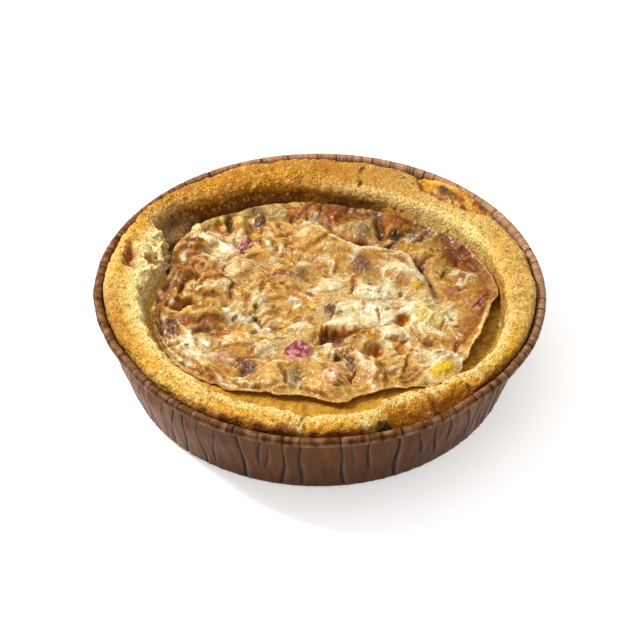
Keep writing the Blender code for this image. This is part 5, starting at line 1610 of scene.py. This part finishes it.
last = skin_ring == SKIN_RINGS
rim_degrees = skin_degrees[last]
rim_radius, rim_height = skin_edge[last], skin_points[last, 2]
drop = around(SKIN_STATIONS, rim_degrees, 2)
wall_radius = around(CRUST_STATIONS, rim_degrees, 2) + 0.3
margin_level = FILLING_LEVEL - drop
margin_rings = [
    (rim_radius - 0.25, rim_height - 0.5),
    (rim_radius - 1.3, rim_height * 0.45 + margin_level * 0.55),
    (rim_radius - 1.6, margin_level + 0.2),
]
for share in np.linspace(0, 1, MARGIN_ROWS):
    reach = rim_radius - 1.0 + (wall_radius - rim_radius + 1.0) * share
    margin_rings.append((reach, margin_level + 0.5 * share**2 * np.minimum(drop, 3.0)))
margin_points = swept(margin_rings, rim_degrees).reshape(-1, 3)
x, y = margin_points[:, 0], margin_points[:, 1]
row = np.repeat(np.arange(len(margin_rings)), len(rim_degrees))
on_custard = eased((row - 2) / 2)
margin_bumps = 0.35 * lumpy(x, y, 4.0, 110) + 0.25 * noise(flat(x, y), 1.8, 114)
margin_points[:, 2] += on_custard * margin_bumps
print("the custard beyond the skin lies", drop.min(), "to", drop.max(), "mm lower")

# %% Colour the custard beyond the skin's edge
FRONT_CUSTARD = (204, 150, 36)
PALE_CUSTARD = (214, 176, 84)
RIGHT_CUSTARD = (190, 150, 44)
# custard on the left, laid on brighter than it is as painted light over the crust's shadow
LIT_LEFT_CUSTARD = (226, 168, 60)

margin_degrees = np.tile(rim_degrees, len(margin_rings))
margin_share = np.clip((row - 3) / (MARGIN_ROWS - 1), 0, 1)
front = facing(margin_degrees, 270, 0.9, 0.5)
margin_paint = layered(
    np.tile(linear(STAINS["honey"]), (len(x), 1)),
    (FRONT_CUSTARD, front * 0.95),
    (PALE_CUSTARD, front * 0.7 * eased(noise(flat(x, y), 4.5, 116) * 2.5 - 0.3)),
    (RIGHT_CUSTARD, 0.9 * facing(margin_degrees, 0, 1.5, -0.3)),
    # painted shade in the deep gap at the back left
    (STAINS["brown"], 0.9 * facing(margin_degrees, 130, 2.0, -0.4)),
    # painted shadow under the skin's torn edge: on the drop beneath it and the custard beside it
    (STAINS["ember"], 0.6 * (1 - eased(margin_share / 0.35))),
    (STAINS["rust"], 0.7 * (1 - on_custard)),
    (STAINS["rust"], 0.5 * eased(noise(flat(x, y), 3.0, 115) * 3)),
    # painted light over the crust's shadow on the left
    (LIT_LEFT_CUSTARD, 0.8 * facing(margin_degrees, 188, 2.4, -1.2)),
)
print("its mean colour, as red, green and blue:", margin_paint.mean(axis=0).round(2))

# %% Close the sides and the underside
FILLING_FLOOR = 7.2

wall = around(CRUST_STATIONS, rim_degrees, 2)
side_rings = [(wall_radius - 1.6, 20.0), (wall - 3.6, FILLING_FLOOR + 5), (wall - 8.0, FILLING_FLOOR)]
side_points = swept(side_rings, rim_degrees).reshape(-1, 3)
side_paint = np.tile(linear(STAINS["honey"]), (len(side_points), 1))
filling_points = np.concatenate([skin_points, margin_points, side_points])
filling_paint = np.concatenate([skin_paint, margin_paint, side_paint])
ring_size = len(rim_degrees)
first_of_rim = len(skin_points) - ring_size
outer_rings = 1 + len(margin_rings) + len(side_rings)
outer_faces = ring_faces(outer_rings, ring_size)[:, ::-1] + first_of_rim
under_cap = (len(filling_points) - ring_size + np.arange(ring_size))[::-1][None, :]
print("the filling has", len(filling_points), "points")

# %% [markdown]
# Baked custard is moist and a little greasy, so it has a thin glossy coat and lets some light in. Freckles
# and blots smaller than the mesh come from the shader.

# %% Finish the custard
custard, custard_shader, tree = shader_material("baked_custard", 0.4, 0.13)
where = object_points(tree)
freckles = grain(tree, where, 0.0008, 4, 0.65)
blots = grain(tree, where, 0.0026, 4, 0.6)
dotted = mixed(tree, ramp(tree, freckles, 0.34, 0.66), (0.6, 0.5, 0.36), (1.28, 1.3, 1.3))
blotched = mixed(tree, ramp(tree, blots, 0.3, 0.7), (0.76, 0.74, 0.66), (1.03, 1.08, 1.08))
tint(tree, custard_shader, dotted, blotched)
tree.links.new(ramp(tree, blots, -0.2, 1.6), custard_shader.inputs["Roughness"])
emboss(tree, custard_shader, freckles, 0.7, 0.0005)
glaze(custard_shader, 0.16)
soften(custard_shader, 0.12, (0.002, 0.0012, 0.0005))
print("custard finish ready")

# %% Place the filling
filling_faces = [skin_triangles, outer_faces, under_cap]
filling_piece = mesh_object("baked_filling", filling_points, filling_faces, filling_paint, custard)
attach(filling_piece, "root")
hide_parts("filling")

# %% [markdown]
# ## Chunks in the custard
# Cheese, mushroom and onion stand a little proud of the skin. Each is a lens of rings that follows the
# skin below it: its rim dips under the skin, and the colours near its rim are the skin's own, so it looks
# baked in.

# %% Places and sizes of the chunks
# x, y, half length, half width (mm), turn (degrees), height (mm)
CHUNKS = {
    "feta_1": (14, -14.5, 10.5, 4.6, -5, 3.6),
    "feta_2": (31, -19.5, 6.6, 4.4, -10, 3),
    "feta_3": (4.5, 9.5, 6, 4.2, 20, 2),
    "feta_4": (13.5, -3.2, 5.4, 3.4, -10, 2),
    "feta_5": (-44.2, 38, 4.4, 3.2, -45, 2.2),
    "mushroom_1": (-24.5, 51.5, 6.2, 3.4, 82, 1.8),
    "mushroom_2": (-57.5, -15.5, 6.4, 3.2, 100, 1.8),
    "mushroom_3": (-28, -39, 5.4, 4.2, 150, 1.8),
    "mushroom_4": (18.5, 21.5, 5.4, 4.2, 60, 2.8),
    "mushroom_5": (4, -6.2, 4.6, 2.3, 85, 1.6),
    "mushroom_6": (12, -37.5, 6, 3, 105, 1.6),
    "mushroom_7": (42, 39.5, 4.6, 2.2, 42, 1.6),
    "red_onion_1": (-8, -31, 8.4, 6.2, 75, 2.2),
    "red_onion_2": (-30, 34.5, 7.4, 3.4, 75, 1.8),
    "red_onion_3": (63.6, -2.5, 7, 1.9, 56, 1.6),
}
print("chunks:", len(CHUNKS))

# %% [markdown]
# Feta is pale and lets light in, mushroom is dark and rough, and onion is glossy, so each kind has a finish
# of its own. All three are moist, so they share the coat and the fine grain.


# %% Finishes of the chunks
def chunk_finish(name, roughness, dark, light, bump, softness):
    """A moist finish for one kind of chunk, with a fine grain from dark to light over its stain."""
    finish, shader, tree = shader_material(name, roughness, 0.25)
    fine = grain(tree, object_points(tree), 0.0009, 4, 0.65)
    tinted = mixed(tree, ramp(tree, fine, 0.3, 0.7), dark, light)
    tint(tree, shader, tinted)
    emboss(tree, shader, fine, bump, 0.0004)
    glaze(shader, 0.3)
    soften(shader, softness, (0.002, 0.0014, 0.0008))
    return finish


CHUNK_FINISHES = {
    "feta": chunk_finish("melted_feta", 0.4, (0.86, 0.82, 0.72), (1.06, 1.06, 1.06), 0.3, 0.2),
    "mushroom": chunk_finish("cooked_mushroom", 0.34, (0.7, 0.66, 0.62), (1.3, 1.28, 1.24), 0.6, 0.05),
    "red_onion": chunk_finish("cooked_onion", 0.26, (0.8, 0.72, 0.74), (1.2, 1.2, 1.2), 0.35, 0.15),
}
print("finishes:", ", ".join(CHUNK_FINISHES))

# %% What each kind is like
# Stains: over most of it, in patches, and in its creases, the last partly its own colour and partly
# painted shade
CHUNK_STAINS = {
    "feta": ((238, 226, 192), (220, 192, 134), (186, 134, 64)),
    "mushroom": ((108, 60, 30), (142, 92, 54), (44, 24, 12)),
    "red_onion": ((146, 62, 70), (206, 150, 136), (110, 18, 36)),
}
# How ragged its outline is, how rough its top, and how much of its height it keeps
CHUNK_SHAPES = {"feta": (1.0, 0.25, 0.7), "mushroom": (1.0, 0.8, 0.45), "red_onion": (0.3, 0.8, 0.6)}
CHUNK_RINGS = 24

chunk_ring, chunk_angle, chunk_triangles = disc_layout(CHUNK_RINGS)
chunk_share = chunk_ring / CHUNK_RINGS
dome = np.sqrt(np.clip(1 - chunk_share**2.4, 0, 1))
print("points on top of a chunk:", len(dome))


# %% Outline and lumps of a chunk
def chunk_layout(number, ragged, chunk):
    """The points of a chunk seen from above, and how far each lies from its long axis, in half widths."""
    middle_x, middle_y, half_length, half_width, degrees, _ = chunk
    around_rim = flat(np.cos(chunk_angle), np.sin(chunk_angle), number)
    wander = 0.34 * noise(around_rim, 0.9, 120) + 0.14 * noise(around_rim, 0.4, 121)
    reach = chunk_share * (1 + ragged * wander)
    along, side = reach * half_length * np.cos(chunk_angle), reach * half_width * np.sin(chunk_angle)
    turn = math.radians(degrees)
    x = middle_x + along * math.cos(turn) - side * math.sin(turn)
    y = middle_y + along * math.sin(turn) + side * math.cos(turn)
    return x, y, side / half_width


def chunk_lumps(number, kind, x, y, across):
    """Its coarse and its fine lumps, from 0 in a crease to 1 on top; an onion has layers for coarse lumps."""
    fine_lumps = lumpy(x, y, 1.1, 150 + number)
    if kind == "red_onion":
        return 0.5 + 0.5 * np.sin(across * 7.0 + 1.2 * noise(flat(x, y), 3.0, 170)), fine_lumps
    return lumpy(x, y, 2.4, 130 + number), fine_lumps


# %% Build the chunks
for number, (name, chunk) in enumerate(CHUNKS.items()):
    kind, rise = name.rsplit("_", 1)[0], chunk[-1]
    ragged, rough, height_share = CHUNK_SHAPES[kind]
    most, patch, dark = CHUNK_STAINS[kind]
    x, y, across = chunk_layout(number, ragged, chunk)
    lumps, fine_lumps = chunk_lumps(number, kind, x, y, across)
    below, crease = skin_relief(x, y)
    swell = dome * (0.85 + 0.5 * noise(flat(x, y), 4.0, 171))
    top = below * (1 - 0.4 * dome) + rise * height_share * swell
    top += dome * rough * (0.9 * (lumps - 0.5) + 0.35 * (fine_lumps - 0.5)) - 0.55 * (1 - dome)
    upper = np.stack([x, y, FILLING_LEVEL + top], axis=1)
    lower = np.stack([x, y, FILLING_LEVEL + below - 1.4], axis=1)
    chunk_paint = layered(
        np.tile(linear(most), (len(x), 1)),
        (patch, eased((noise(flat(x, y), 2.6, 172) + 0.25) / 0.5)),
        # darker in its creases: partly its own colour, partly painted shade
        (dark, rough * (1 - lumps) ** 3 + 0.5 * rough * (1 - fine_lumps) ** 3),
    )
    own = eased((dome - 0.45 + 0.7 * ragged * noise(flat(x, y), 2.2, 173)) / 0.35)[:, None]
    paint = skin_colours(x, y, crease) * (1 - own) + chunk_paint * own
    count = len(x)
    rim = np.flatnonzero(chunk_ring == CHUNK_RINGS)
    following = np.roll(rim, -1)
    belt = np.stack([rim, rim + count, following + count, following], axis=1)
    piece = mesh_object(
        f"{name}_baked_in",
        np.concatenate([upper, lower]),
        [chunk_triangles, chunk_triangles[:, ::-1] + count, belt],
        np.concatenate([paint, paint]),
        CHUNK_FINISHES[kind],
    )
    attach(piece, "root")
    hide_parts(name)

# %% [markdown]
# ## Cheese that ran over
# At the back right some cheese ran over the rim and baked against the case. It is bright orange, glossy
# and scorched in spots. Its section is swept along the gap between crust and case: it starts at the crust's
# outer side, bulges up and over to the case, and goes down inside the paper.

# %% Sweep the run-over cheese
SPILL_FROM, SPILL_TO = 31.5, 60.5  # degrees
SPILL_BOTTOM = 27.0
SPILL_STEPS, SPILL_ROWS = 160, 30

spill_share = np.linspace(0, 1, SPILL_STEPS)
spill_degrees = SPILL_FROM + (SPILL_TO - SPILL_FROM) * spill_share
fullness = np.sin(math.pi * (0.08 + 0.84 * spill_share)) ** 0.6
spill_top = SPILL_BOTTOM + 3 + 6.5 * fullness
spill_inside = around(CRUST_STATIONS, spill_degrees, 1) - 0.6 * fullness
spill_outside = np.maximum(case_clearance(spill_top + 0.8, spill_degrees), spill_inside + 0.8)
spill_sections = []
for part in np.linspace(0, 1, SPILL_ROWS):
    reach = spill_inside + (spill_outside - spill_inside) * part
    bulge = 1.1 * np.sin(part * math.pi) * fullness + 0.7 * part * fullness
    spill_sections.append((reach, spill_top + bulge))
outer_foot = case_clearance(SPILL_BOTTOM, spill_degrees) - 0.3
spill_sections.append((np.minimum(spill_outside - 1.0, outer_foot), SPILL_BOTTOM))
spill_sections.append((np.minimum(spill_inside, outer_foot - 0.5), SPILL_BOTTOM))
spill_points = swept(spill_sections, spill_degrees).swapaxes(0, 1).reshape(-1, 3)
print("the cheese rises to", spill_points[:, 2].max().round(1), "mm")

# %% Blister and colour the run-over cheese
RUN_AMBER = (206, 140, 30)
RUN_GOLD = (228, 176, 58)
RUN_BROWN = (150, 78, 18)
RUN_MAUVE = (92, 60, 52)
# painted shade between the blisters
RUN_CREASE_SHADE = (110, 52, 14)
RUN_SCORCH = (70, 42, 42)
RUN_BRIGHT = (246, 200, 72)
SCORCHED_SPOT = (48, 81, 4, 2.6, 0)  # degrees, radius, half length in degrees, half width in mm, turn
BRIGHT_SPOT = (53, 86, 5, 2.4, 0)

on_top = (spill_points[:, 2] > SPILL_BOTTOM + 0.1).astype(float)
blisters = lumpy(spill_points[:, 0], spill_points[:, 1], 1.4, 184)
spill_points[:, 2] += on_top * (1.0 * noise(spill_points, 4.5, 186) + 0.4 * (blisters - 0.5))
spill_patches = noise(spill_points, 3.4, 188)
spill_at = np.repeat(spill_degrees, len(spill_sections))
spill_reach = np.hypot(spill_points[:, 0], spill_points[:, 1])
spill_paint = layered(
    np.tile(linear(RUN_AMBER), (len(spill_points), 1)),
    (RUN_GOLD, 0.9 * eased((spill_patches + 0.05) / 0.3)),
    (RUN_BROWN, 0.9 * eased((-spill_patches - 0.15) / 0.3)),
    (RUN_MAUVE, 0.85 * eased((noise(spill_points, 2.2, 189) - 0.3) / 0.15)),
    # painted shade between the blisters
    (RUN_CREASE_SHADE, 0.7 * (1 - blisters) ** 3),
    (RUN_SCORCH, 0.8 * spot(spill_at + spill_patches * 3, spill_reach, SCORCHED_SPOT)),
    (RUN_BRIGHT, 0.9 * spot(spill_at, spill_reach, BRIGHT_SPOT)),
)
print("its mean colour, as red, green and blue:", spill_paint.mean(axis=0).round(2))

# %% Finish and place the run-over cheese
sides, *ends = closed_faces(SPILL_STEPS, len(spill_sections))
spill_faces = [np.roll(sides, -1, axis=1)[:, ::-1], *(end[:, ::-1] for end in ends)]  # turned to face out
scorched = chunk_finish("scorched_cheese", 0.32, (0.76, 0.66, 0.5), (1.2, 1.2, 1.1), 0.6, 0.1)
spill_piece = mesh_object("cheese_run_over", spill_points, spill_faces, spill_paint, scorched)
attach(spill_piece, "root")
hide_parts("cheese_spill")
